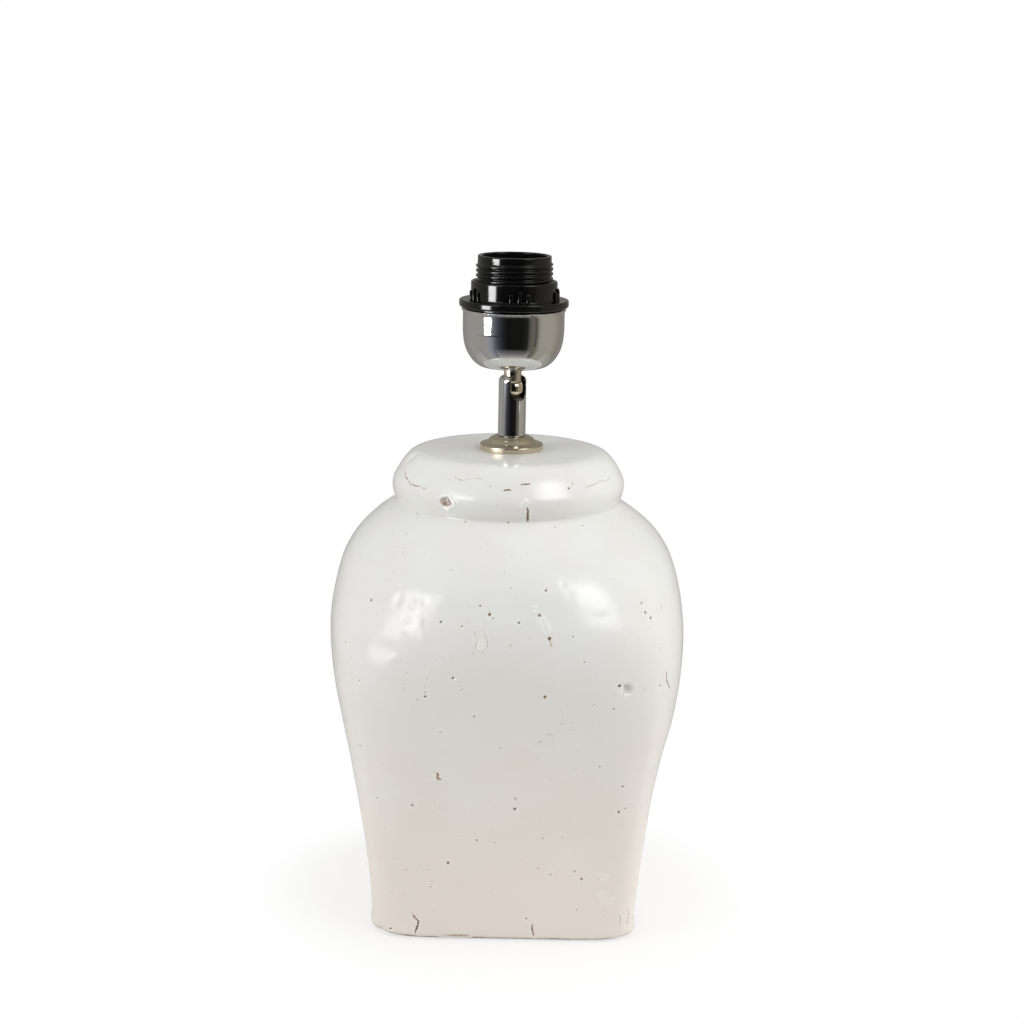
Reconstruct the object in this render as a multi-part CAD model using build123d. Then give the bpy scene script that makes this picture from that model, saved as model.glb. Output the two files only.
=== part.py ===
from build123d import *
import math
import os

# A table lamp base: a glazed clay jar, square at the foot and round at the neck, with a nickel cap,
# a slotted swivel that lets the head lean to one side, a bowl-shaped chrome cup and a black
# screw lampholder with its shade ring.
# Z points up and is zero where the felt pad meets the table. The jar's flat sides face X and Y.
# Lengths are in millimetres and angles in degrees.

# Shared clearances
cut_over = 1.0          # how far a cutting tool runs past the face that it opens
snug = 0.02             # radial gap of pieces that are screwed or pressed together
turn_clear = 0.05       # radial gap of a shaft that turns in its hole
turn_gap = 0.1          # gap under the swivel barrel, so that it turns freely

# Felt pad
pad_thick = 1.0
pad_inset = 4.0         # how far the felt's edge stays inside the foot

# Clay jar
jar_height = 243.4
jar_width = 184.7       # across the flat sides at the belly
jar_wall = 7.0
jar_floor = 9.0
jar_top_plate = 9.0
jar_service_radius = 30.0   # hand hole in the floor, closed by the felt
collar_height = 26.5    # from the crease under the collar up to the flat top
crease_radius = 58.0
collar_stand = 2.2      # how far the collar stands out over the crease
neck_draw = 6.0         # how far the shoulder runs on inwards behind the crease
neck_rise = 3.6
neck_inner_round = 5.0
section_points = 72
# From the foot to the belly: height as a share of the crease's height, half width as a share of half
# the jar width, and how square the section is: 2 is a circle, and higher values are squarer.
jar_body_shares = [
    (0.0, 0.752, 4.4),
    (0.012, 0.752, 5.2),
    (0.035, 0.752, 6.6),
    (0.075, 0.757, 7.4),
    (0.175, 0.78, 7.0),
    (0.29, 0.82, 6.0),
    (0.41, 0.875, 5.0),
    (0.52, 0.935, 4.2),
    (0.64, 0.988, 3.4),
    (0.73, 1.0, 2.9),
]
# From there to the crease: height as before, half width as a share of the way from the crease's
# radius out to the belly, and squareness
jar_shoulder_shares = [
    (0.81, 0.919, 2.5),
    (0.88, 0.758, 2.3),
    (0.94, 0.476, 2.1),
    (0.98, 0.18, 2.0),
    (1.0, 0.0, 2.0),
]
# Height as a share of the collar's height, and radius as a share of the collar's radius
collar_shares = [
    (0.02, 0.962),
    (0.17, 0.992),
    (0.38, 1.0),
    (0.62, 0.955),
    (0.81, 0.9),
    (0.94, 0.85),
    (1.0, 0.78),
]

# Cable outlet at the back, just above the floor
outlet_height = 19.0    # from the foot to the outlet's axis
outlet_radius = 5.0
outlet_seat_radius = 8.5
outlet_seat_depth = 1.2
grommet_bore = 3.2
grommet_flange_radius = 7.5
grommet_flange = 1.8
grommet_lip_radius = 6.0
grommet_lip = 1.6
grommet_lip_gap = 0.5
grommet_round = 0.7

# Nickel cap on the jar
cap_radius = 16.45
cap_rim = 3.2
cap_height = 7.2
cap_crown_radius = 7.7
cap_wall = 1.2
cap_round = 0.7

# Threaded tube and what clamps it under the jar's top
tube_radius = 4.9
tube_bore = 3.6
tube_spare = 3.0        # length that stands out below the nut
tube_end_gap = 0.3
tube_hole_gap = 0.4
washer_radius = 15.0
washer_thick = 1.5
spring_washer_radius = 7.6
spring_washer_thick = 1.6
spring_washer_slit = 1.0
nut_flats = 14.0
nut_thick = 4.5

# Swivel: a barrel, open on one side, that holds the ball of the stem
barrel_radius = 7.15
barrel_length = 31.4
barrel_round = 2.8
barrel_foot_round = 0.4
ball_radius = 6.0
ball_clear = 0.08
ball_drop = 6.4         # from the barrel's top down to the ball's centre
slot_drop = 1.3         # from the ball's centre down to the middle of the slot's round end
seat_drop = 5.0         # from the ball's centre down to the seat's top
slot_azimuth = 34.0     # from the front towards the right
seat_height = 3.4
disc_spring_height = 1.3
disc_spring_thick = 0.5
disc_spring_radius = 5.7
wire_hole = 3.2
bush_web = 3.0

# Stem with its ball
stem_radius = 4.55
stem_clear = 0.2        # to the barrel's mouth and slot
stem_show = 4.3         # seen between the barrel and the cup
stem_bore = 2.6
tenon_radius = 3.95
tenon_spare = 1.5
grub_drop = 2.9         # from the cup down to the grub screw's axis
grub_radius = 1.2
grub_sink = 0.5
grub_length = 1.2
grub_slot = 0.5
grub_slot_depth = 0.5

# Chrome cup
cup_radius = 26.2
cup_height = 30.7
cup_bowl = 19.0         # height of the rounded bowl, below the straight wall
cup_wall = 0.9
cup_lip = 1.5
cup_lip_stand = 0.2     # how far the rolled lip stands out from the wall
cup_nut_flats = 13.0
cup_nut_thick = 3.0
# Height as a share of the bowl's height, and radius as a share of the cup's radius
cup_shares = [
    (0.0, 0.5),
    (0.035, 0.64),
    (0.195, 0.8),
    (0.36, 0.885),
    (0.52, 0.94),
    (0.7, 0.975),
    (1.0, 1.0),
]

# Black sleeve: outside thread for the shade ring, inside thread for the bulb
sleeve_rim_height = 26.2    # from the shoulder to the rim
sleeve_shoulder = 0.8
sleeve_shoulder_inset = 0.5
sleeve_skirt = 11.7
sleeve_skirt_gap = 0.2
sleeve_skirt_wall = 2.0
sleeve_web = 2.5
sleeve_lip_radius = 18.9
sleeve_bore = 16.8
sleeve_round = 0.6
thread_radius = 19.84
thread_root = 18.93
thread_pitch = 2.5
thread_first = 4.1      # from the shoulder to the lowest crest
thread_turns = 8
thread_flat = 0.6
bulb_crest = 12.25
bulb_root = 13.35
bulb_pitch = 3.63
bulb_turns = 4
bulb_flat = 0.9
bulb_tube_radius = 15.2
bulb_tube_length = 25.0
bulb_tube_drop = 9.7    # from the rim down to the mouth of the bulb thread
bulb_mouth_round = 0.9

# Shade ring
ring_radius = 28.18
ring_flange = 3.7
ring_height = 13.3
ring_collar_radius = 22.25
ring_bore = 20.15
ring_groove = 0.8
ring_turns = 4
ring_first = 1.6
ring_round = 0.9
ring_flange_round = 0.7
rib_groups = 5
rib_group_size = 3
rib_step = 11.0         # between the ribs of one group
rib_azimuth = 7.3       # of the first group's middle rib, from the front towards the right
rib_stand = 1.15
rib_width = 1.9
rib_height = 5.2
rib_middle_extra = 1.4

# Contact block and contacts inside the lampholder
block_inset = 2.2       # from the cup's outside in to the block's edge
block_thick = 5.0
block_boss_radius = 9.9
block_boss = 6.5
block_round = 0.6
plunger_radius = 3.5
plunger_head = 1.6
plunger_round = 0.8
plunger_stand = 1.6     # from the boss up to the underside of the head
plunger_shank = 1.4
plunger_clear = 0.06
plunger_tail_radius = 2.3
plunger_tail = 0.9
plunger_tail_gap = 0.05
pocket_radius = 3.1
pocket_depth = 4.6
contact_wire = 0.45
contact_coil_radius = 2.2
contact_coils = 5
contact_coil_gap = 0.06
leaf_width = 5.0
leaf_thick = 0.5
leaf_rise = 10.2
leaf_gap = 0.15
terminal_place = 13.5   # from the axis out to each terminal
terminal_width = 6.0
terminal_height = 7.0
terminal_screw_radius = 1.5
terminal_screw_head = 2.2
terminal_screw_head_height = 1.2
terminal_screw_length = 4.5
terminal_slot = 0.6
terminal_round = 0.5
rivet_radius = 1.3
rivet_head_radius = 2.3
rivet_head = 0.8
rivet_round = 0.3

# Levels, from the table up
jar_foot = pad_thick
jar_top = jar_foot + jar_height
crease_height = jar_height - collar_height
crease = jar_foot + crease_height
collar_radius = crease_radius + collar_stand
plate_under = jar_top - jar_top_plate
cap_top = jar_top + cap_height
barrel_foot = cap_top + turn_gap
barrel_top = barrel_foot + barrel_length
ball_height = barrel_top - ball_drop
mouth_radius = stem_radius + stem_clear
barrel_bore = ball_radius + ball_clear
slot_end = ball_height - slot_drop
seat_top = ball_height - seat_drop
seat_foot = seat_top - seat_height
bush_top = seat_foot - disc_spring_height
tube_top = bush_top - bush_web - tube_end_gap
washer_foot = plate_under - washer_thick
spring_washer_foot = washer_foot - spring_washer_thick
nut_foot = spring_washer_foot - nut_thick
tube_foot = nut_foot - tube_spare
cup_foot = barrel_top + stem_show
cup_floor = cup_foot + cup_wall
cup_top = cup_foot + cup_height
shoulder = cup_top + sleeve_shoulder
rim = shoulder + sleeve_rim_height
skirt_foot = cup_top - sleeve_skirt
bulb_mouth = rim - bulb_tube_drop
bulb_tube_foot = bulb_mouth - bulb_tube_length
block_top = skirt_foot
block_radius = cup_radius - block_inset
block_foot = block_top - block_thick
boss_top = block_top + block_boss
plunger_seat = boss_top + plunger_stand


def turned(*corners):
    """A solid turned about the upright axis. A corner is its radius, height and, if any, rounding."""
    places = [(corner[0], corner[1]) for corner in corners]
    roundings = [corner[2] if len(corner) > 2 else 0 for corner in corners]
    outline = FilletPolyline(*places, radius=roundings, close=True)
    return revolve(Plane.XZ * make_face(outline), Axis.Z)


def column(radius, low, high):
    """A plain round solid on the upright axis between two levels."""
    return Plane.XY.offset(low) * Cylinder(radius, high - low, align=(Align.CENTER, Align.CENTER, Align.MIN))


def at_azimuth(piece, azimuth):
    """The piece, made facing the front, turned about the upright axis towards the right."""
    return Rot(0, 0, azimuth) * piece


def forward_rod(radius, reach_from, reach_to, height):
    """A round rod that points to the front, between two distances from the upright axis."""
    plane = Plane((0, -reach_from, height), x_dir=(1, 0, 0), z_dir=(0, -1, 0))
    return plane * Cylinder(radius, reach_to - reach_from, align=(Align.CENTER, Align.CENTER, Align.MIN))


def jar_section(level, half_width, squareness):
    """One level section of the jar, on a curve between a circle and a square."""
    points = []
    for step in range(section_points):
        angle = 2 * math.pi * step / section_points
        across, along = math.cos(angle), math.sin(angle)
        reach = half_width / (abs(across) ** squareness + abs(along) ** squareness) ** (1 / squareness)
        points.append((reach * across, reach * along))
    return Plane.XY.offset(level) * make_face(Spline(*points, periodic=True))


def jar_outline():
    """Level, half width and squareness of each outside section, and of the neck's end behind the crease."""
    belly = jar_width / 2
    outline = [
        (jar_foot + height * crease_height, width * belly, squareness)
        for height, width, squareness in jar_body_shares
    ]
    outline += [
        (jar_foot + height * crease_height, crease_radius + reach * (belly - crease_radius), squareness)
        for height, reach, squareness in jar_shoulder_shares
    ]
    return outline + [(crease + neck_rise, crease_radius - neck_draw, outline[-1][2])]


def half_width_at(height):
    """Half the jar's width at a height over its foot, read between two of its sections."""
    level = jar_foot + height
    outline = jar_outline()
    for (low, low_width, _), (high, high_width, _) in zip(outline, outline[1:]):
        if low <= level <= high:
            return low_width + (level - low) / (high - low) * (high_width - low_width)
    return crease_radius


def jar_outside():
    return loft([jar_section(*place) for place in jar_outline()])


def jar_collar():
    """The rolled collar with its flat top, turned. Its root sits inside the shoulder."""
    edge = [(radius * collar_radius, crease + height * collar_height) for height, radius in collar_shares]
    root = (crease_radius - neck_draw, crease - neck_rise)
    curve = Spline(root, *edge, tangents=[(1, 0), (-1, 0)])
    rest = Polyline(edge[-1], (0, jar_top), (0, root[1]), root)
    return revolve(Plane.XZ * make_face(curve + rest), Axis.Z)


def hollow_outline():
    """The outside's sections, moved in by the wall, square to the outline, from the floor up to the neck."""
    outline = jar_outline()
    floor = jar_foot + jar_floor
    hollow = [(floor, half_width_at(jar_floor) - jar_wall, jar_body_shares[2][2])]
    for below, here, above in zip(outline, outline[1:], outline[2:]):
        rise, draw = above[0] - below[0], below[1] - above[1]
        slant = math.hypot(rise, draw)
        level = here[0] - jar_wall * draw / slant
        if level > floor:
            hollow.append((level, here[1] - jar_wall * rise / slant, here[2]))
    return hollow + [(crease, crease_radius - 2 * jar_wall, hollow[-1][2])]


def jar_inside():
    """The hollow inside the body, and the straight neck under the top plate."""
    neck = crease_radius - jar_wall
    sleeve = turned(
        (0, crease - jar_wall),
        (neck, crease - jar_wall),
        (neck, plate_under, neck_inner_round),
        (0, plate_under),
    )
    return loft([jar_section(*place) for place in hollow_outline()]) + sleeve


def outlet_face():
    """How far behind the axis the flat seat of the cable outlet lies."""
    return half_width_at(outlet_height) - outlet_seat_depth


def backward(piece):
    """The piece, made facing the front at the axis, turned to face the back."""
    return Rot(0, 0, 180) * piece


def ceramic_jar():
    jar = jar_outside() + jar_collar() - jar_inside()
    jar -= column(jar_service_radius, jar_foot - cut_over, jar_foot + jar_floor + cut_over)
    jar -= column(tube_radius + tube_hole_gap, plate_under - cut_over, jar_top + cut_over)
    level = jar_foot + outlet_height
    inner = half_width_at(outlet_height) - 2 * jar_wall
    outer = half_width_at(outlet_height) + cut_over
    jar -= backward(forward_rod(outlet_radius, inner, outer, level))
    jar -= backward(forward_rod(outlet_seat_radius, outlet_face(), outer, level))
    return jar


def felt_base_pad():
    foot = jar_body_shares[0]
    section = jar_section(0, foot[1] * jar_width / 2 - pad_inset, foot[2])
    return extrude(section, pad_thick)


def cable_grommet():
    """A rubber bush whose flange sits in the flat seat and whose lip holds it inside the wall."""
    inside = half_width_at(outlet_height) - jar_wall - grommet_lip_gap
    seat = outlet_face()
    body = turned(
        (grommet_bore, inside - grommet_lip),
        (grommet_lip_radius - grommet_round, inside - grommet_lip),
        (grommet_lip_radius, inside),
        (outlet_radius - snug, inside),
        (outlet_radius - snug, seat),
        (grommet_flange_radius, seat),
        (grommet_flange_radius, seat + grommet_flange, grommet_round),
        (grommet_bore, seat + grommet_flange, grommet_round),
    )
    return Pos(0, 0, jar_foot + outlet_height) * Rot(-90, 0, 0) * body


def vase_cap():
    """A pressed cap: an upright rim, a cone and a flat crown with the tube's hole."""
    hole = tube_radius + tube_hole_gap
    return turned(
        (cap_radius - cap_wall, jar_top),
        (cap_radius, jar_top),
        (cap_radius, jar_top + cap_rim, cap_round),
        (cap_crown_radius, cap_top),
        (hole, cap_top),
        (hole, cap_top - cap_wall),
        (cap_crown_radius, cap_top - cap_wall),
        (cap_radius - cap_wall, jar_top + cap_rim - cap_wall),
    )


def threaded_tube():
    return column(tube_radius, tube_foot, tube_top) - column(tube_bore, tube_foot - cut_over, tube_top + cut_over)


def retaining_washer():
    hole = tube_radius + tube_hole_gap
    return column(washer_radius, washer_foot, plate_under) - column(hole, washer_foot - cut_over, jar_top)


def spring_washer():
    ring = column(spring_washer_radius, spring_washer_foot, washer_foot)
    ring -= column(tube_radius + turn_clear, spring_washer_foot - cut_over, jar_top)
    slit = Pos(0, 0, spring_washer_foot) * Box(
        spring_washer_radius + cut_over,
        spring_washer_slit,
        spring_washer_thick * 3,
        align=(Align.MIN, Align.CENTER, Align.CENTER),
    )
    return ring - slit


def hexagon_nut(flats, thick, hole, low):
    """A nut whose corners are turned off at both faces."""
    blank = Plane.XY.offset(low) * extrude(RegularPolygon(flats / 2, 6, major_radius=False), thick)
    corner = flats / math.sqrt(3)
    slope = (corner - flats / 2) * 0.6
    envelope = turned(
        (0, low),
        (flats / 2, low),
        (corner, low + slope),
        (corner, low + thick - slope),
        (flats / 2, low + thick),
        (0, low + thick),
    )
    return (blank & envelope) - column(hole, low - cut_over, low + thick + cut_over)


def lock_nut():
    return hexagon_nut(nut_flats, nut_thick, tube_radius + snug, nut_foot)


def swivel_barrel():
    """The barrel, closed over the ball, with the slot in which the stem leans down to level."""
    barrel = turned(
        (0, barrel_foot),
        (barrel_radius, barrel_foot, barrel_foot_round),
        (barrel_radius, barrel_top, barrel_round),
        (0, barrel_top),
    )
    barrel -= column(barrel_bore, barrel_foot - cut_over, ball_height)
    barrel -= Pos(0, 0, ball_height) * Sphere(barrel_bore)
    barrel -= column(mouth_radius, ball_height, barrel_top + cut_over)
    reach = barrel_radius + cut_over
    channel = Pos(0, 0, slot_end) * Box(
        2 * mouth_radius,
        reach,
        barrel_top + cut_over - slot_end,
        align=(Align.CENTER, Align.MAX, Align.MIN),
    )
    slot = channel + forward_rod(mouth_radius, 0, reach, slot_end)
    return barrel - at_azimuth(slot, slot_azimuth)


def ball_seat():
    ring = column(barrel_bore - turn_clear, seat_foot, seat_top)
    ring -= column(wire_hole, seat_foot - cut_over, seat_top + cut_over)
    return ring - Pos(0, 0, ball_height) * Sphere(ball_radius + ball_clear / 2)


def disc_spring():
    """A dished washer that presses the seat against the ball."""
    return turned(
        (wire_hole, seat_foot - disc_spring_thick),
        (wire_hole, seat_foot),
        (disc_spring_radius, bush_top + disc_spring_thick),
        (disc_spring_radius, bush_top),
    )


def swivel_bush():
    """The threaded bush in the barrel's foot. It turns on the tube and backs the spring."""
    return turned(
        (tube_radius + turn_clear, barrel_foot),
        (barrel_bore - snug, barrel_foot),
        (barrel_bore - snug, bush_top),
        (wire_hole, bush_top),
        (wire_hole, bush_top - bush_web),
        (tube_radius + turn_clear, bush_top - bush_web),
    )


def ball_stem():
    tenon_top = cup_floor + cup_nut_thick + tenon_spare
    stem = Pos(0, 0, ball_height) * Sphere(ball_radius)
    stem += column(stem_radius, ball_height, cup_foot)
    stem += column(tenon_radius, cup_foot, tenon_top)
    stem -= column(stem_bore, ball_height - ball_radius - cut_over, tenon_top + cut_over)
    return stem - forward_rod(grub_radius + snug, stem_bore / 2, stem_radius + cut_over, cup_foot - grub_drop)


def stem_grub_screw():
    outer = stem_radius - grub_sink
    level = cup_foot - grub_drop
    screw = forward_rod(grub_radius, outer - grub_length, outer, level)
    slot = Pos(0, -outer, level) * Box(grub_slot, 2 * grub_slot_depth, 2 * grub_radius)
    return screw - slot


def bowl_curve(radius, low, high):
    """The bowl's outline from the edge of its flat floor up to the straight wall."""
    points = [(share * radius, low + height * (high - low)) for height, share in cup_shares]
    return points, Spline(*points, tangents=[(1, 0), (0, 1)])


def chrome_cup():
    bowl_top = cup_foot + cup_bowl
    hole = tenon_radius + tube_hole_gap / 2
    outer, outer_curve = bowl_curve(cup_radius, cup_foot, bowl_top)
    inner, inner_curve = bowl_curve(cup_radius - cup_wall, cup_floor, bowl_top)
    lip = Polyline(
        outer[-1],
        (cup_radius, cup_top - cup_lip),
        (cup_radius + cup_lip_stand, cup_top - cup_lip + cup_lip_stand),
        (cup_radius + cup_lip_stand, cup_top - cup_lip_stand),
        (cup_radius, cup_top),
        (cup_radius - cup_wall, cup_top),
        inner[-1],
    )
    floor = Polyline(inner[0], (hole, cup_floor), (hole, cup_foot), outer[0])
    return revolve(Plane.XZ * make_face(outer_curve + lip + inner_curve + floor), Axis.Z)


def cup_nut():
    return hexagon_nut(cup_nut_flats, cup_nut_thick, tenon_radius + snug, cup_floor)


def thread_corners(crest, root, pitch, flat, first, turns):
    """Corners of a ring thread, from its lowest crest upwards, for a turned outline."""
    flank = (pitch - 2 * flat) / 2
    corners = []
    for turn in range(turns):
        middle = first + turn * pitch
        corners += [(root, middle - flat / 2 - flank), (crest, middle - flat / 2)]
        corners += [(crest, middle + flat / 2), (root, middle + flat / 2 + flank)]
    return corners


def socket_sleeve():
    """Skirt in the cup, shoulder on its lip, threaded barrel, and the bulb's threaded tube inside."""
    skirt = cup_radius - cup_wall - sleeve_skirt_gap
    outside = thread_corners(
        thread_radius, thread_root, thread_pitch, thread_flat, shoulder + thread_first, thread_turns
    )
    bulb_first = bulb_mouth - bulb_pitch * (bulb_turns - 0.5)
    inside = thread_corners(bulb_crest, bulb_root, bulb_pitch, bulb_flat, bulb_first, bulb_turns)
    web_foot = shoulder - sleeve_web
    return turned(
        (skirt, skirt_foot),
        (skirt, cup_top),
        (cup_radius - sleeve_shoulder_inset, cup_top),
        (cup_radius - sleeve_shoulder_inset, shoulder),
        (thread_root, shoulder),
        *outside,
        (sleeve_lip_radius, outside[-1][1] + thread_flat),
        (sleeve_lip_radius, rim, sleeve_round),
        (sleeve_bore, rim, sleeve_round),
        (sleeve_bore, bulb_mouth),
        (bulb_root + bulb_mouth_round, bulb_mouth),
        *reversed(inside),
        (bulb_root, bulb_tube_foot),
        (bulb_tube_radius, bulb_tube_foot),
        (bulb_tube_radius, bulb_mouth - sleeve_web),
        (sleeve_bore, bulb_mouth - sleeve_web),
        (sleeve_bore, web_foot),
        (skirt - sleeve_skirt_wall, web_foot),
        (skirt - sleeve_skirt_wall, skirt_foot),
    )


def rib(height):
    """One grip rib on the ring's collar, made at the front. Its top slopes in to the collar."""
    outer = ring_collar_radius + rib_stand
    inner = ring_collar_radius - rib_stand
    low = shoulder + ring_flange - ring_round
    top = shoulder + ring_flange + height
    side = Polyline(
        (inner, low), (outer, low), (outer, top - rib_stand), (inner, top + rib_stand), close=True
    )
    plate = extrude(Plane.XZ * make_face(side), rib_width / 2, both=True)
    return Rot(0, 0, -90) * plate


def shade_ring():
    top = shoulder + ring_height
    grooves = thread_corners(
        ring_bore + ring_groove, ring_bore, thread_pitch, thread_flat, shoulder + ring_first, ring_turns
    )
    ring = turned(
        (ring_bore, shoulder),
        (ring_radius, shoulder, ring_flange_round),
        (ring_radius, shoulder + ring_flange, ring_flange_round),
        (ring_collar_radius, shoulder + ring_flange),
        (ring_collar_radius, top, ring_round),
        (ring_bore, top),
        *reversed(grooves[1:]),
    )
    for group in range(rib_groups):
        for place in range(rib_group_size):
            offset = place - (rib_group_size - 1) / 2
            extra = rib_middle_extra if offset == 0 else 0
            azimuth = rib_azimuth + group * 360 / rib_groups + offset * rib_step
            ring += at_azimuth(rib(rib_height + extra), azimuth)
    return ring


def contact_block():
    """The insulating block that the sleeve clamps, with the plunger's pocket in its boss."""
    block = turned(
        (plunger_shank + plunger_clear, block_foot),
        (block_radius, block_foot, block_round),
        (block_radius, block_top, block_round),
        (block_boss_radius, block_top),
        (block_boss_radius, boss_top, block_round),
        (pocket_radius, boss_top),
        (pocket_radius, boss_top - pocket_depth),
        (plunger_shank + plunger_clear, boss_top - pocket_depth),
    )
    for side in (-1, 1):
        hole = column(rivet_radius + snug, block_foot - cut_over, block_top + cut_over)
        block -= Pos(side * terminal_place, 0, 0) * hole
    return block


def center_contact():
    """The sprung plunger that meets the bulb's tip. Its tail keeps it in the block."""
    head_top = plunger_seat + plunger_head
    tail_top = block_foot - plunger_tail_gap
    return turned(
        (0, tail_top - plunger_tail),
        (plunger_tail_radius, tail_top - plunger_tail),
        (plunger_tail_radius, tail_top),
        (plunger_shank, tail_top),
        (plunger_shank, plunger_seat),
        (plunger_radius, plunger_seat),
        (plunger_radius, head_top, plunger_round),
        (0, head_top),
    )


def contact_spring():
    """The coil under the plunger's head, one unbroken turn of wire."""
    low = boss_top - pocket_depth + contact_wire / 2 + contact_coil_gap
    high = plunger_seat - contact_wire / 2 - contact_coil_gap
    pitch = (high - low) / contact_coils
    path = Helix(pitch, high - low, contact_coil_radius, center=(0, 0, low))
    start = path @ 0
    section = Plane(start, z_dir=path % 0) * Circle(contact_wire / 2)
    return sweep(section, path, is_frenet=True)


def side_contact():
    """A bent leaf: its foot lies under the right rivet and its tongue rises beside the boss."""
    near = block_boss_radius + leaf_gap
    far = terminal_place + rivet_head_radius
    foot = Pos(near, 0, block_top) * Box(
        far - near, leaf_width, leaf_thick, align=(Align.MIN, Align.CENTER, Align.MIN)
    )
    tongue = Pos(near, 0, block_top) * Box(
        leaf_thick, leaf_width, leaf_rise, align=(Align.MIN, Align.CENTER, Align.MIN)
    )
    hole = Pos(terminal_place, 0, 0) * column(rivet_radius + snug, block_top - cut_over, block_top + cut_over)
    return foot + tongue - hole


def rivet(low_head):
    """A rivet through the block into its terminal. Its head sits on the block or on the leaf."""
    shank = column(rivet_radius, block_foot, low_head)
    head = turned(
        (0, low_head),
        (rivet_head_radius, low_head),
        (rivet_head_radius, low_head + rivet_head, rivet_round),
        (0, low_head + rivet_head),
    )
    return shank + head


def contact_rivets():
    left = Pos(-terminal_place, 0, 0) * rivet(block_top)
    right = Pos(terminal_place, 0, 0) * rivet(block_top + leaf_thick)
    return Compound([left.solid(), right.solid()])


def terminal_block(side):
    """A brass block under the insulating block, drilled from below for its screw."""
    foot = block_foot - terminal_height
    block = Pos(side * terminal_place, 0, foot) * Box(
        terminal_width, terminal_width, terminal_height, align=(Align.CENTER, Align.CENTER, Align.MIN)
    )
    block = fillet(block.edges().filter_by(Axis.Z), terminal_round)
    hole = column(terminal_screw_radius + snug, foot - cut_over, foot + terminal_screw_length + snug)
    return block - Pos(side * terminal_place, 0, 0) * hole


def terminal_blocks():
    return Compound([terminal_block(side).solid() for side in (-1, 1)])


def terminal_screw(side):
    foot = block_foot - terminal_height
    low = foot - terminal_screw_head_height
    screw = column(terminal_screw_radius, foot, foot + terminal_screw_length)
    screw += turned(
        (0, low),
        (terminal_screw_head, low, rivet_round),
        (terminal_screw_head, foot),
        (0, foot),
    )
    screw -= Pos(0, 0, low) * Box(2 * terminal_screw_head + cut_over, terminal_slot, terminal_slot * 2)
    return Pos(side * terminal_place, 0, 0) * screw


def terminal_screws():
    return Compound([terminal_screw(side).solid() for side in (-1, 1)])


pieces = {
    "ceramic_jar": ceramic_jar,
    "felt_base_pad": felt_base_pad,
    "cable_grommet": cable_grommet,
    "vase_cap": vase_cap,
    "threaded_tube": threaded_tube,
    "retaining_washer": retaining_washer,
    "spring_washer": spring_washer,
    "lock_nut": lock_nut,
    "swivel_barrel": swivel_barrel,
    "swivel_bush": swivel_bush,
    "disc_spring": disc_spring,
    "ball_seat": ball_seat,
    "ball_stem": ball_stem,
    "stem_grub_screw": stem_grub_screw,
    "chrome_cup": chrome_cup,
    "cup_nut": cup_nut,
    "socket_sleeve": socket_sleeve,
    "shade_ring": shade_ring,
    "contact_block": contact_block,
    "center_contact": center_contact,
    "contact_spring": contact_spring,
    "side_contact": side_contact,
    "contact_rivets": contact_rivets,
    "terminal_blocks": terminal_blocks,
    "terminal_screws": terminal_screws,
}

os.makedirs("parts", exist_ok=True)
for name, make in pieces.items():
    piece = make()
    export_step(piece, f"parts/{name}.step")
    print(name, len(piece.solids()), "solid(s)", round(piece.volume), "mm3")
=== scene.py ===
# %% [markdown]
# A table lamp base, dressed piece by piece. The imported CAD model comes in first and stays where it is: it
# gives every level and width, and the pieces that can be seen well are modelled finer around it.
# Lengths are in metres, and those of the jar's outline and of its flaws in millimetres. Z points up, and the
# photograph looks along +Y.

# %% Load the frame
import math
import random

import bpy
import numpy as np
from mathutils import Matrix, Vector, kdtree, noise
from mathutils.bvhtree import BVHTree


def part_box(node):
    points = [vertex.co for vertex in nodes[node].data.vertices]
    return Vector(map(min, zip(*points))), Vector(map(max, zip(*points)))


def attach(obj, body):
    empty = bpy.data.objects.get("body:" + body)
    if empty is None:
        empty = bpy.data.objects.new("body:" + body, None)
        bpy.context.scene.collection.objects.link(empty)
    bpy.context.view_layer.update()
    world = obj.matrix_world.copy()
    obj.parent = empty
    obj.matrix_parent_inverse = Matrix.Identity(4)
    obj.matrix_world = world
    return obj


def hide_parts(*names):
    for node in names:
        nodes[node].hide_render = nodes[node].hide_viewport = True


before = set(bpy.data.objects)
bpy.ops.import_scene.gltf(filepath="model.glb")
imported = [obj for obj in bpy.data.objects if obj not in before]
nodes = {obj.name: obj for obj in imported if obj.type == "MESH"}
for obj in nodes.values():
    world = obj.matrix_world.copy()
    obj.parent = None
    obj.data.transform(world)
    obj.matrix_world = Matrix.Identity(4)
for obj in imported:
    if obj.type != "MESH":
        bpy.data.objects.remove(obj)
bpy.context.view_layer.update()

MM = 0.001

# %% [markdown]
# The levels that the pieces share are read from the CAD nodes, so a piece can't drift from what carries it.

# %% Levels and radii from the CAD
foot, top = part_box("ceramic_jar")[0].z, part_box("ceramic_jar")[1].z
cap_radius, cap_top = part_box("vase_cap")[1].x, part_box("vase_cap")[1].z
barrel_height, ball_depth, slot_drop = 31.4 * MM, 6.4 * MM, 1.3 * MM
barrel_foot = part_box("swivel_barrel")[0].z
barrel_top = barrel_foot + barrel_height
ball_level = barrel_top - ball_depth
slot_level = ball_level - slot_drop
cup_foot, cup_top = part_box("chrome_cup")[0].z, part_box("chrome_cup")[1].z
skirt_foot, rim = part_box("socket_sleeve")[0].z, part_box("socket_sleeve")[1].z
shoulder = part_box("shade_ring")[0].z
print("jar", round(foot, 4), "to", round(top, 4), "cup", round(cup_foot, 4), "rim", round(rim, 4))

# %% [markdown]
# The camera comes first. Its place was worked out from the ellipses of the rim, the flange and the jar's top:
# a little over a metre away and looking down by twelve and a half degrees. The lamp stands upright here,
# and the photograph's small lean is a roll of the camera.

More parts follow.
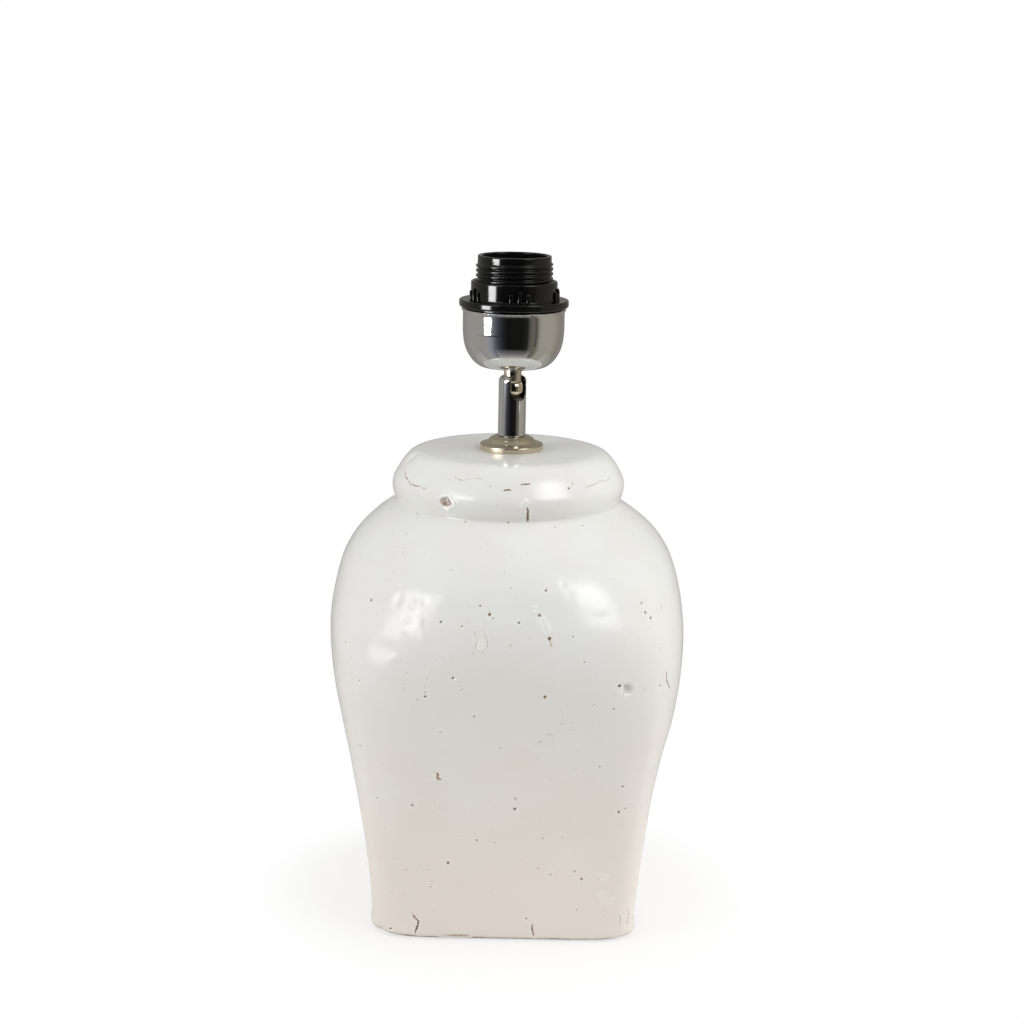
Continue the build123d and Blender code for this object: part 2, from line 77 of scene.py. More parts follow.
# %% Camera
camera_pitch, camera_roll = math.radians(12.486), math.radians(1.03)
camera_turn = Matrix.Rotation(math.pi / 2 - camera_pitch, 3, "X") @ Matrix.Rotation(camera_roll, 3, "Z")
camera_place = Vector((0.9 * MM, -1.1, top + 209.8 * MM))
bpy.ops.object.camera_add(location=camera_place, rotation=camera_turn.to_euler())
camera = bpy.context.object
camera.name = "studio_camera"
camera.data.lens = 75.5
camera.data.sensor_width = 36
bpy.context.scene.camera = camera
picture = 1024
focal_pixels = camera.data.lens / camera.data.sensor_width * picture
print("camera at", [round(v, 3) for v in camera_place])


def sight(across, down):
    """The direction in which the camera sees a point of the picture, given in its pixels."""
    ray = Vector(((across - picture / 2) / focal_pixels, -(down - picture / 2) / focal_pixels, -1))
    return (camera_turn @ ray).normalized()


# %% [markdown]
# Colours are written as the sRGB hex values that a paint chart would give, and turned to linear light once,
# here. A second small function adds any shader node with its settings and its links, and the others are short
# ways to the nodes that come up often. They take and give the outputs of nodes.

# %% Colour and node helpers
def linear(value):
    """An sRGB hex value such as "E4E2DC" as linear red, green, blue and alpha."""
    parts = [int(value[i:i + 2], 16) / 255 for i in (0, 2, 4)]
    return tuple(p / 12.92 if p <= 0.04045 else ((p + 0.055) / 1.055) ** 2.4 for p in parts) + (1.0,)


def grey(share):
    """A share from 0 to 1 as a shade, for ramps that give a strength and not a colour."""
    return share, share, share, 1.0


def add_node(material, kind, inputs=None, **settings):
    """Adds a node. Settings are its own properties, and inputs are values or other nodes' outputs."""
    tree = material.node_tree
    node = tree.nodes.new("ShaderNode" + kind)
    for key, value in settings.items():
        setattr(node, key, value)
    for key, value in (inputs or {}).items():
        if isinstance(value, bpy.types.NodeSocket):
            tree.links.new(value, node.inputs[key])
        else:
            node.inputs[key].default_value = value
    return node


def link(material, output, node, socket):
    material.node_tree.links.new(output, node.inputs[socket])


def ramp(material, share, *stops):
    """A colour ramp read at a share. Each stop is a place from 0 to 1 and a colour."""
    node = add_node(material, "ValToRGB", {"Fac": share})
    elements = node.color_ramp.elements
    while len(elements) < len(stops):
        elements.new(0.5)
    for element, (place, colour) in zip(elements, stops):
        element.position = place
        element.color = colour
    return node.outputs["Color"]


def blend(material, share, first, second):
    """The first colour where the share is 0, the second where it is 1."""
    return add_node(material, "Mix", {"Factor": share, "A": first, "B": second}, data_type="RGBA").outputs[2]


def blend_shaders(material, share, first, second):
    return add_node(material, "MixShader", {0: share, 1: first, 2: second}).outputs[0]


def calculate(material, operation, *values):
    """A sum, a product or the like."""
    return add_node(material, "Math", dict(enumerate(values)), operation=operation).outputs[0]


def share_of(material, value, low, high, **settings):
    """Where a value lies on the way from low to high, as a share from 0 to 1."""
    inputs = {"Value": value, "From Min": low, "From Max": high}
    return add_node(material, "MapRange", inputs, **settings).outputs[0]


def between(material, share, low, high):
    """The value at a share of the way from low to high."""
    return add_node(material, "MapRange", {"Value": share, "To Min": low, "To Max": high}).outputs[0]


def grain_noise(material, place, grain_mm, detail, **inputs):
    """A noise whose grain is a real size in millimetres."""
    inputs |= {"Vector": place, "Scale": 1 / (grain_mm * MM), "Detail": detail}
    return add_node(material, "TexNoise", inputs).outputs["Fac"]


def bump(material, height, depth_mm, **inputs):
    """The surface's direction where a height from 0 to 1 lifts it by up to so many millimetres."""
    inputs |= {"Height": height, "Distance": depth_mm * MM, "Strength": 1.0}
    return add_node(material, "Bump", inputs).outputs["Normal"]


def new_material(name):
    """An empty material with its principled shader and the coordinates of the piece."""
    material = bpy.data.materials.new(name)
    material.use_nodes = True
    material.node_tree.nodes.clear()
    output = add_node(material, "OutputMaterial")
    shader = add_node(material, "BsdfPrincipled")
    link(material, shader.outputs[0], output, "Surface")
    return material, shader, add_node(material, "TexCoord").outputs["Object"]


def wear_surface(material, shader, place, grain_mm, bump_mm, rough_low, rough_high):
    """Uneven gloss and a fine bump from one noise, whose grain is a real size in millimetres."""
    grain = grain_noise(material, place, grain_mm, 3.0)
    link(material, between(material, grain, rough_low, rough_high), shader, "Roughness")
    link(material, bump(material, grain, bump_mm), shader, "Normal")
    return grain


print("helpers ready")

# %% [markdown]
# Glaze first. The real jar is earthenware under a thick white tin glaze: a glossy glass skin with pinholes and
# crawled spots in it, cooler where it is thick on the shoulder and warmer where it runs thin near the foot.
# The mesh carries two painted marks: "bare" where raw clay shows, and "thick" on the raised white lips, whose
# white is partly thick glaze and partly a painted highlight.

# %% Glaze material
glaze, glaze_shader, place = new_material("white_tin_glaze_on_earthenware")
height = add_node(glaze, "SeparateXYZ", {"Vector": place}).outputs["Z"]
cloud = grain_noise(glaze, place, 34, 4.0, Roughness=0.55)
thick_level, thin_level = 0.19, 0.02
drift = calculate(glaze, "ADD", share_of(glaze, height, thick_level, thin_level), cloud)
skin = ramp(
    glaze, share_of(glaze, drift, 0.35, 1.35),
    (0.0, linear("E9EAE6")), (0.5, linear("E5E2DE")), (1.0, linear("E4DDD5")),
)
fleck = ramp(glaze, grain_noise(glaze, place, 2.6, 2.0), (0.7, grey(0)), (0.78, grey(0.45)))
spotted = blend(glaze, fleck, skin, linear("CDBFB0"))
clay_grain = grain_noise(glaze, place, 1.1, 3.0)
clay = ramp(glaze, clay_grain, (0.35, linear("5C4231")), (0.5, linear("8D705A")), (0.68, linear("C9B6A2")))
# The second mark whitens raised lips: partly thick glaze, partly a painted highlight.
bare_mark, lip_glaze_and_highlight_mark = (
    add_node(glaze, "Attribute", attribute_name=name).outputs["Fac"] for name in ("bare", "thick")
)
ragged = calculate(glaze, "MULTIPLY_ADD", calculate(glaze, "SUBTRACT", clay_grain, 0.5), 0.9, bare_mark)
bare = share_of(glaze, ragged, 0.22, 0.62)
# F6F6F2 on the lips is in part a painted highlight, not only thick glaze.
glazed = blend(glaze, bare, blend(glaze, lip_glaze_and_highlight_mark, spotted, linear("F6F6F2")), clay)
gloss = between(glaze, cloud, 0.07, 0.2)
dull = add_node(glaze, "Mix", {"Factor": bare, "A": gloss, "B": 0.8}).outputs[0]
ripple = bump(glaze, grain_noise(glaze, place, 7, 2.0), 0.07)
peel = bump(glaze, grain_noise(glaze, place, 1.4, 2.0), 0.006, Normal=ripple)
for output, socket in ((glazed, "Base Color"), (dull, "Roughness"), (peel, "Normal")):
    link(glaze, output, glaze_shader, socket)
print("material", glaze.name)

# %% [markdown]
# The metals. Chrome on the barrel and the cup is a mirror with a cold tone. Nickel is warmer: satin on the
# cap, bright on the ball and brushed on the stem. A plated sheet is never quite even, so each gets a slow
# ripple and faint polishing marks. Brass, zinc and spring steel are on small parts that are hardly seen.

# %% Metal materials
def metal(name, colour, grain_mm, bump_mm, rough_low, rough_high):
    """A bare or plated metal: its colour is its reflection."""
    material, shader, place = new_material(name)
    shader.inputs["Base Color"].default_value = linear(colour)
    shader.inputs["Metallic"].default_value = 1.0
    wear_surface(material, shader, place, grain_mm, bump_mm, rough_low, rough_high)
    return material


chrome = metal("polished_chrome_plate", "D2D2D1", 3.0, 0.004, 0.02, 0.05)
nickel = metal("satin_nickel_plate", "D3C7B0", 1.6, 0.004, 0.15, 0.23)
bright_nickel = metal("bright_nickel_plate", "D0C6B2", 1.6, 0.002, 0.04, 0.1)
stem_nickel = metal("brushed_nickel_plate", "D0C6B2", 1.6, 0.004, 0.32, 0.4)
brass = metal("turned_brass", "D8B36A", 0.8, 0.006, 0.22, 0.36)
zinc_steel = metal("zinc_plated_steel", "B9BDBF", 1.2, 0.01, 0.28, 0.42)
spring_steel = metal("blued_spring_steel", "77797D", 0.8, 0.008, 0.3, 0.42)
metals = (chrome, nickel, bright_nickel, stem_nickel, brass, zinc_steel, spring_steel)
print("metals", [m.name for m in metals])


# %% [markdown]
# The plastics, the rubber and the felt. The lampholder is moulded black plastic with the mould's soft polish;
# the block inside it is a heat-proof moulding with a dry surface. Felt is pressed wool with fibres a few
# hundredths of a millimetre thick, drawn coarser here so that they show at all.

# %% Plastic, rubber and felt materials
def moulded(name, colour, grain_mm, bump_mm, rough_low, rough_high):
    """A solid-coloured moulding that is a little lighter where the grain stands up."""
    material, shader, place = new_material(name)
    grain = wear_surface(material, shader, place, grain_mm, bump_mm, rough_low, rough_high)
    base = linear(colour)
    light = tuple(min(1, 1.6 * c + 0.0005) for c in base[:3]) + (1.0,)
    link(material, ramp(material, grain, (0.45, base), (0.75, light)), shader, "Base Color")
    return material


black_plastic = moulded("moulded_black_thermoset", "0B0B0B", 2.5, 0.003, 0.07, 0.13)
black_plastic.node_tree.nodes["Principled BSDF"].inputs["Specular IOR Level"].default_value = 0.32
block_plastic = moulded("heatproof_phenolic", "4A423B", 0.7, 0.02, 0.5, 0.65)
rubber = moulded("black_rubber", "17171A", 0.9, 0.02, 0.55, 0.7)
felt = moulded("pressed_wool_felt", "4A4643", 0.45, 0.12, 0.9, 1.0)
print("plastics and soft materials ready")


# %% [markdown]
# Most pieces of a lamp are turned or spun, so one helper does what a lathe does. It takes the piece's outline
# as a closed ring of points in the XZ plane, with a rounding at each corner that has one, and spins it.
# A primitive circle gives the ring of points; the spin operator gives the round.

# %% A lathe
def select_only(*pieces):
    """Selects these pieces and nothing else. The first of them becomes the active one."""
    bpy.ops.object.select_all(action="DESELECT")
    for piece in pieces:
        piece.select_set(True)
    if pieces:
        bpy.context.view_layer.objects.active = pieces[0]


def coordinates(mesh):
    """The mesh's points as rows of x, y and z."""
    points = np.zeros(len(mesh.vertices) * 3)
    mesh.vertices.foreach_get("co", points)
    return points.reshape(-1, 3)


def arc(radius, across, level, first, last, steps):
    """An arc from one angle to another round a centre at a distance from the axis and a level."""
    angles = np.linspace(first, last, steps)
    return [(across + radius * math.cos(a), level + radius * math.sin(a)) for a in angles]


def rounded(outline, pieces=6):
    """The outline's corners, each radius, height and rounding, as points with the roundings drawn as arcs. A
    ring just before and after each arc keeps the walls beside it true, so that they mirror without a bend."""
    points = []
    for before, corner, after in zip(outline[-1:] + outline[:-1], outline, outline[1:] + outline[:1]):
        here = Vector(corner[:2])
        radius = corner[2] if len(corner) > 2 else 0
        if radius == 0:
            points.append(here)
            continue
        back, ahead = (Vector(before[:2]) - here).normalized(), (Vector(after[:2]) - here).normalized()
        half = back.angle(ahead) / 2
        centre = here + (back + ahead).normalized() * radius / math.sin(half)
        start, end = here + back * radius / math.tan(half), here + ahead * radius / math.tan(half)
        first = math.atan2(start.y - centre.y, start.x - centre.x)
        sweep = math.atan2(end.y - centre.y, end.x - centre.x) - first
        sweep = (sweep + math.pi) % (2 * math.pi) - math.pi
        hold = 0.12 * radius
        if (Vector(before[:2]) - start).length > 4 * hold:
            points.append(start + back * hold)
        for step in range(pieces + 1):
            angle = first + sweep * step / pieces
            points.append(centre + radius * Vector((math.cos(angle), math.sin(angle))))
        if (Vector(after[:2]) - end).length > 4 * hold:
            points.append(end + ahead * hold)
    return points


def close_mesh(piece, sharp_angle=38):
    """Merges what lies together, turns all faces outwards and smooths all but the sharp edges."""
    select_only(piece)
    bpy.ops.object.mode_set(mode="EDIT")
    bpy.ops.mesh.select_all(action="SELECT")
    bpy.ops.mesh.remove_doubles(threshold=0.002 * MM)
    bpy.ops.mesh.normals_make_consistent(inside=False)
    bpy.ops.object.mode_set(mode="OBJECT")
    bpy.ops.object.shade_smooth_by_angle(angle=math.radians(sharp_angle))


def turned(name, outline, sides=128, pieces=6):
    """A piece of revolution about the upright axis."""
    points = rounded(outline, pieces)
    select_only()
    bpy.ops.mesh.primitive_circle_add(vertices=len(points), radius=1)
    piece = bpy.context.object
    piece.name = name
    for vertex, point in zip(piece.data.vertices, points):
        vertex.co = (point.x, 0, point.y)
    bpy.ops.object.mode_set(mode="EDIT")
    bpy.ops.mesh.select_all(action="SELECT")
    bpy.ops.mesh.spin(steps=sides, angle=2 * math.pi, center=(0, 0, 0), axis=(0, 0, 1))
    bpy.ops.object.mode_set(mode="OBJECT")
    close_mesh(piece)
    print(name, len(piece.data.polygons), "faces")
    return piece


def finish_piece(piece, material, slot, body, *replaced):
    """Gives a piece its material, hangs it on its body and hides the CAD nodes it replaces; the slot isn't
    used.
    """
    piece.data.materials.clear()
    piece.data.materials.append(material)
    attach(piece, body)
    if replaced:
        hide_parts(*replaced)


def apply_modifier(piece, kind, name, **settings):
    """Adds a modifier with its settings and applies it."""
    select_only(piece)
    modifier = piece.modifiers.new(name, kind)
    for key, value in settings.items():
        setattr(modifier, key, value)
    bpy.ops.object.modifier_apply(modifier=name)


def bevel(piece, width, segments, edge_angle=30):
    """Breaks the edges that turn by more than an angle, because a real edge is never sharp."""
    apply_modifier(
        piece, "BEVEL", "edges", width=width, segments=segments, limit_method="ANGLE",
        angle_limit=math.radians(edge_angle),
    )


def cut_away(piece, cutter):
    """Takes the cutter's shape out of the piece, and the cutter out of the scene."""
    apply_modifier(piece, "BOOLEAN", "cut", object=cutter, operation="DIFFERENCE", solver="EXACT")
    bpy.data.objects.remove(cutter, do_unlink=True)


def rod(radius, start, end, sides=64):
    """A round cutter between two points."""
    start, end = Vector(start), Vector(end)
    turn = (end - start).to_track_quat("Z", "Y").to_euler()
    select_only()
    bpy.ops.mesh.primitive_cylinder_add(
        vertices=sides, radius=radius, depth=(end - start).length, location=(start + end) / 2, rotation=turn
    )
    return bpy.context.object


print("lathe ready")

# %% [markdown]
# The jar is the main piece. The real one is thrown and then beaten square below the shoulder, so a level
# section is a circle at the neck and nearly a square at the foot. Such a section is a superellipse, whose
# one number says how square it is. The outline below goes from the foot up the outside, over the collar,
# down through the tube's hole and back along the inside, as distances in millimetres from the axis.

# %% The jar's outline
crease_level, plate_underside, upright_foot = 216.9, 234.4, 7.6
circle = 2.0
# Level over the foot, half width and squareness of the body's outside
body_table = [
    (0.0, 69.45, 8.4), (2.6, 69.45, 8.4), (upright_foot, 69.45, 8.4), (16.3, 69.91, 8.2), (38.0, 72.03, 7.4),
    (62.9, 75.73, 6.0), (88.9, 80.81, 5.0), (112.8, 86.35, 4.2), (138.8, 91.24, 3.4), (158.3, 92.35, 2.9),
    (175.7, 89.57, 2.5), (190.9, 84.04, 2.3), (203.9, 74.35, 2.1), (212.6, 64.18, 2.0),
    (crease_level, 58.0, 2.0),
]
# Rise over the crease and radius of the collar
collar_table = [
    (0.0, 57.6), (0.5, 57.9), (4.5, 59.7), (10.1, 60.2), (16.4, 57.5), (21.5, 54.2), (24.7, 51.0), (26.1, 47.2),
    (26.45, 43.0), (26.5, 38.5),
]
# Level, half width and squareness of the hollow, from the top down
hollow_table = [
    (plate_underside, 46.0, 2.0), (229.4, 51.0, 2.0), (211.0, 54.2, 2.0), (207.1, 59.8, 2.0),
    (199.2, 69.2, 2.1), (187.5, 78.0, 2.3), (173.0, 82.9, 2.5), (157.5, 85.4, 2.9), (138.8, 84.3, 3.4),
    (112.8, 79.6, 4.2), (88.9, 74.0, 5.0), (62.9, 68.9, 6.0), (38.0, 65.2, 7.0),
    (16.3, 62.9, 7.4), (9.0, 62.5, 6.6),
]
tube_hole, hand_hole, floor_thick = 5.3, 30.0, 9.0


def lengths_along(line):
    """How far along a line each of its points lies."""
    return np.concatenate([[0], np.cumsum(np.hypot(*np.diff(line, axis=0).T))])


def bell(offset, width):
    """1 in the middle, falling off smoothly on both sides."""
    return np.exp(-((offset / width) ** 2))


def smooth_through(places, values, at):
    """A smooth curve through a few values, read at many places."""
    places, values, at = (np.asarray(a, float) for a in (places, values, at))
    slope = np.gradient(values, places)
    index = np.clip(np.searchsorted(places, at) - 1, 0, len(places) - 2)
    width = places[index + 1] - places[index]
    t = (at - places[index]) / width
    a, b = values[index], values[index + 1]
    da, db = slope[index] * width, slope[index + 1] * width
    return a + da * t + (3 * (b - a) - 2 * da - db) * t**2 + (2 * (a - b) + da + db) * t**3


def body_profile():
    """Half width and squareness of the body at close levels above the foot."""
    close_from = 214.0
    levels = np.concatenate([np.arange(0, close_from, 0.5), np.arange(close_from, crease_level, 0.25)])
    table = np.array(body_table)
    width = smooth_through(table[:, 0], table[:, 1], levels)
    width[levels < upright_foot] = table[0, 1]
    return np.stack([width, levels, np.interp(levels, table[:, 0], table[:, 2])], axis=1)


def collar_profile():
    """The rolled collar from the crease up to where its top is flat."""
    table = np.array(collar_table)
    run = lengths_along(table)
    steps = np.linspace(0, run[-1], 110)
    levels = np.minimum(smooth_through(run, table[:, 0], steps), table[-1, 0])
    width = smooth_through(run, table[:, 1], steps)
    return np.stack([width, crease_level + levels, np.full(len(steps), circle)], axis=1)


def soften(points, start, end, times):
    """Rounds the corner between two places of the outline, as glaze fills it."""
    for _ in range(times):
        inner, beside = points[start:end, :2], points[start - 1:end - 1, :2] + points[start + 1:end + 1, :2]
        points[start:end, :2] = 0.5 * inner + 0.25 * beside
    return points


outside = np.concatenate([body_profile(), collar_profile()])
crease_at = len(body_profile())
outside = soften(outside, crease_at - 9, crease_at + 9, 14)
height_over_foot = top / MM - foot / MM
rest = [(tube_hole, height_over_foot, circle), (tube_hole, plate_underside, circle)]
rest += [(w, z, n) for z, w, n in hollow_table]
rest += [(hand_hole, floor_thick, circle), (hand_hole, 0.0, circle), tuple(outside[0])]
outline = np.concatenate([outside, np.array(rest)])
run = lengths_along(outline[:, :2])
outside_end = run[len(outside) - 1]
print("outline of", len(outline), "points,", round(run[-1]), "mm long, outside", round(outside_end), "mm")

# %% [markdown]
# A slab of clay is rolled round and joined at the back, which is also how the mesh is made: a flat grid whose
# one side is the way round and whose other side is the way along the outline. While it is flat, cells near
# a flaw are cut finer. Then one function puts every point of the slab on the jar. It adds what the hand did:
# a low ridge along each corner, a lower edge rounded most at the corners, and a slight lean.

# %% From slab to jar
# Level over the foot and how far the jar stands to the right there
lean_table = [(0, 0.0), (20, 0.0), (60, -0.3), (110, 0.0), (150, -0.5), (180, -0.8), (200, -1.2), (214, -1.9),
              (219, -1.5), (228, -1.2), (243.4, -1.0)]
ridge_low, ridge_high, ridge_height, ridge_width = 45.0, 170.0, 0.35, 0.05
fade_low, fade_high = 25, 30
edge_left_front, edge_corner, edge_side, edge_depth, corner_reach = 6.8, 3.2, 1.1, 0.75, 0.13
lean_from_radius, lean_full_over = 17, 30


def jar_points(slab):
    """The jar's points in metres for points of the slab: turns round it and millimetres along its outline."""
    turn, along = slab[:, 0], slab[:, 1]
    angle = -np.pi / 2 + 2 * np.pi * (turn - 0.5)
    width, level, square = (np.interp(along, run, outline[:, k]) for k in range(3))
    across, ahead = np.cos(angle), np.sin(angle)
    outer = along < outside_end + 1
    from_corner = np.abs(np.abs(across) - np.abs(ahead))
    rise = np.clip((level - ridge_low) / fade_low, 0, 1) * np.clip((ridge_high - level) / fade_high, 0, 1)
    width = width + outer * ridge_height * bell(from_corner, ridge_width) * rise
    at_corner = np.exp(-from_corner / corner_reach)
    left_front = (across < 0) & (ahead < 0)
    edge = np.where(left_front, edge_left_front, edge_corner) * at_corner + edge_side * (1 - at_corner)
    at_edge = outer | (along > run[-1] - 0.01)
    edge = np.where(at_edge & (level < edge), edge, 0)
    drawn_in = edge - np.sqrt(np.maximum(edge**2 - (edge - level) ** 2, 0))
    width = width - edge_depth * drawn_in
    reach = width / (np.abs(across) ** square + np.abs(ahead) ** square) ** (1 / square)
    leaning = np.clip((width - lean_from_radius) / lean_full_over, 0, 1)
    lean = np.interp(level, *np.array(lean_table).T) * leaning
    return np.stack([reach * across + lean, reach * ahead, level + foot / MM], axis=1) * MM


def slab_rows():
    """Where the rows of the grid lie along the outline: closer at the foot, the collar and the crease."""
    plain, close, closest, flat_top, unseen = 2.25, 1.0, 0.45, 2.4, 11
    foot_edge, collar_foot, crease_reach = 10, 208, 3.2
    rows = [0.0]
    while rows[-1] < outside_end:
        level = np.interp(rows[-1], run, outline[:, 1])
        step = close if level < foot_edge or level > collar_foot else plain
        rows.append(rows[-1] + (closest if abs(level - crease_level) < crease_reach else step))
    rows = [r for r in rows if r < outside_end] + [outside_end]
    corners = [run[i] for i in range(len(outside), len(outline))]
    for number, (start, end) in enumerate(zip([outside_end] + corners, corners)):
        count = max(1, round((end - start) / (flat_top if number == 0 else unseen)))
        rows += [start + (end - start) * (k + 1) / count for k in range(count)]
    return rows


rows = slab_rows()
sides = 256
select_only()
bpy.ops.mesh.primitive_grid_add(x_subdivisions=sides, y_subdivisions=len(rows) - 1, size=1)
jar = bpy.context.object
jar.name = "glazed_jar"
slab = coordinates(jar.data)
slab[:, 0] += 0.5
row_of = np.rint((slab[:, 1] + 0.5) * (len(rows) - 1)).astype(int)
slab[:, 1] = np.array(rows)[row_of]
slab[:, 2] = 0
jar.data.vertices.foreach_set("co", slab.ravel())
print("slab of", sides, "by", len(rows) - 1, "cells")

# %% [markdown]
# The flaws of this jar are its charm, so the ones that the photograph shows well are put where they are: a ray
# from the camera through a place in the picture is followed until it meets the jar. Each pit is its place
# in the picture and its radius in millimetres.

# %% Flaws that the photograph shows
pits = [
    (371, 600, .55), (480, 606, .5), (489.5, 614.7, .75), (440.7, 622, .5), (462, 626.6, .5), (519, 623, .6),
    (545.7, 590.7, .6), (515, 809.3, .7), (448, 863, .7), (545.2, 697.3, .7), (618.8, 812.3, .6),
    (511, 588, .3), (510.5, 645.6, .35), (504.7, 571, .3), (403, 551.7, .35), (406, 532.7, .35),
    (357.6, 556.5, .35), (450.8, 570, .3), (572.8, 637, .45), (584, 662, .4), (453, 678.5, .65),
    (425.6, 692.5, .5), (358.7, 680.6, .4), (347.6, 661, .35), (351, 658, .3), (345.3, 642, .35),
    (406.6, 673.3, .3), (465.3, 521.8, .4), (508.3, 522.6, .4), (582.8, 524.7, .4), (555.4, 526.6, .35),
    (490.3, 486.3, .35), (641.2, 603.2, .5), (645.1, 612.7, .65), (650.8, 617.9, .65), (660.7, 685.8, .5),
    (557.2, 690, .3), (474.3, 716.6, .5), (359.6, 745.7, .5), (407, 761.8, .3), (377.3, 797.9, .4),
    (412.5, 805, .55), (515.4, 799, .45), (500.4, 748.2, .35), (430.7, 887, .35), (407, 869.6, .3),
    (427, 869.6, .3), (476.8, 840, .4), (495, 842.5, .3), (384.3, 827.5, .3), (390.5, 929, .5),
    (562, 723.8, .35), (572, 723.2, .35), (537.3, 757.7, .3), (599.8, 767, .45), (622.5, 786.8, .5),
    (625, 808.6, .4), (562.5, 837, .4), (542.5, 838.6, .4), (538, 868.6, .35), (550.7, 874.6, .4),
    (574.5, 871.6, .45), (581.4, 879, .5), (576.8, 909.6, .4), (526.3, 918.8, .5), (614, 709.5, .4),
    (594, 705, .3), (569, 488, .4), (404.5, 473, .7), (425, 697, .5), (539.4, 615.4, .75),
    (549.4, 638.8, .85), (619.6, 686.4, .8), (551, 646, .35), (493, 618.5, .35), (440.6, 779, .4),
    (417, 700, .35),
]
# Cracks: points in the picture, half width, depth, stain and raised lip, all in millimetres but the stain
# A raised lip is also painted whiter, partly as a painted highlight.
cracks = [
    ([(404, 470), (406, 477), (410, 484), (416, 485.5), (420, 487), (426, 488.5)], .3, .35, .55, .16),
    ([(448, 480), (452, 479), (457, 478.3), (463, 480.5), (469, 479), (476, 478.5), (483, 479.5), (489, 482)],
     .24, .22, .42, .06),
    ([(520.6, 485), (526, 483.8), (530.6, 484.4)], .34, .4, .85, .05),
    ([(503.5, 490.4), (507, 489.2), (511, 490.8)], .34, .4, .85, .05),
    ([(527.6, 508), (527.8, 513), (528, 517), (527.2, 522)], .5, .6, .8, .16),
    ([(523.6, 508), (523.4, 504.6), (525.6, 502.6), (528.4, 503)], .5, -.16, 0.0, .3),
    ([(414.6, 507), (416.6, 511), (417.5, 514), (417, 518), (415.5, 521)], .34, .3, .36, .2),
    ([(570, 489), (573, 484.6), (571.4, 480.6)], .28, .2, .4, .1),
    ([(581.5, 489.5), (586, 487), (590.6, 486), (596, 483), (600.6, 481.4), (607, 480), (612, 477.6)],
     .24, .2, .42, .06),
    ([(529.8, 609.4), (533.6, 608), (537, 610.6)], .5, -.16, 0.0, .34),
    ([(540.6, 616.6), (543.6, 623), (546, 629), (548, 635)], .55, -.14, 0.0, .34),
    ([(549.4, 640), (552, 645)], .35, .25, .45, .05),
    ([(447, 656), (438, 664), (431, 671), (427, 680), (424, 690), (421, 699)], .3, .16, .26, .08),
    ([(666, 668), (667, 676), (667, 681.5), (669, 686), (670, 690)], .4, .35, .6, .1),
    ([(669.6, 694), (669.4, 706), (668.6, 719)], .3, .25, .5, .1),
    ([(661.4, 602), (661.4, 611)], .3, .22, .42, .1),
    ([(369, 650), (373, 643), (376, 638)], .35, .15, .1, .16),
    ([(372, 570), (377, 563)], .35, .15, .1, .12),
    ([(412.5, 913), (414.6, 918.4), (418.2, 922), (417, 927), (416.4, 930), (414.8, 933.6)], .33, .5, 1.0, .1),
    ([(532.7, 924), (532.5, 930), (533.6, 935.6)], .3, .45, 1.0, .08),
    ([(420, 897.5), (432, 896), (444, 895.5), (455.7, 894)], .25, .1, .12, .0),
    ([(454.8, 873), (457, 884), (457.5, 894), (456, 906), (454.8, 919)], .25, .08, .1, .0),
    ([(437.4, 772), (437.6, 776), (439, 780)], .6, .4, .62, .1),
    ([(433, 771), (436, 772.6)], .5, .15, .34, .0),
    ([(548, 772), (560, 777), (572, 781), (580, 779)], .3, .06, .1, .05),
    ([(470, 862), (480, 866), (492, 865)], .25, .06, .08, .0),
    ([(478, 629), (474.6, 634), (477.6, 640), (476.4, 646), (473.4, 652), (475, 657), (479.6, 656)],
     .26, .16, .42, .12),
    ([(479.6, 656), (484.4, 651), (488, 645), (486.6, 638), (484, 632), (479, 629)], .26, .16, .42, .12),
    ([(482, 640), (480.4, 646), (481.4, 651)], .5, -.12, 0.0, .3),
    ([(456, 687), (461, 685.6), (462.4, 690), (458, 693), (460, 697)], .3, .14, .36, .14),
    ([(437.6, 733), (441.6, 731.6), (443, 735)], .45, .14, .34, .1),
    ([(434, 806), (437, 802), (440, 803.6), (439, 808), (443.6, 809.6)], .26, .12, .34, .06),
    ([(546.6, 737), (550.4, 733.4), (553.4, 736.6)], .4, .12, .36, .1),
    ([(538.6, 743.6), (541.6, 741), (543.6, 743)], .4, .12, .36, .1),
    ([(533, 752), (539, 748), (545, 751)], .3, .05, .14, .1),
    ([(566, 769), (574, 773), (581, 772)], .3, .05, .14, .12),
    ([(622.6, 695), (625, 692.6)], .5, .1, .4, .1),
    ([(617, 914), (620.6, 918), (619, 923), (623, 926)], .3, .2, .45, .15),
    ([(627.4, 908), (629, 914), (628, 921), (629.4, 930)], .34, .2, .55, .15),
    ([(598, 873), (603, 878), (609, 876)], .45, -.1, .12, .12),
    ([(602, 889), (600, 895), (604, 901), (611, 902), (614, 897)], .45, -.1, .12, .1),
    ([(643, 606), (640, 611), (645, 622), (650, 624)], .28, .12, .34, .08),
]
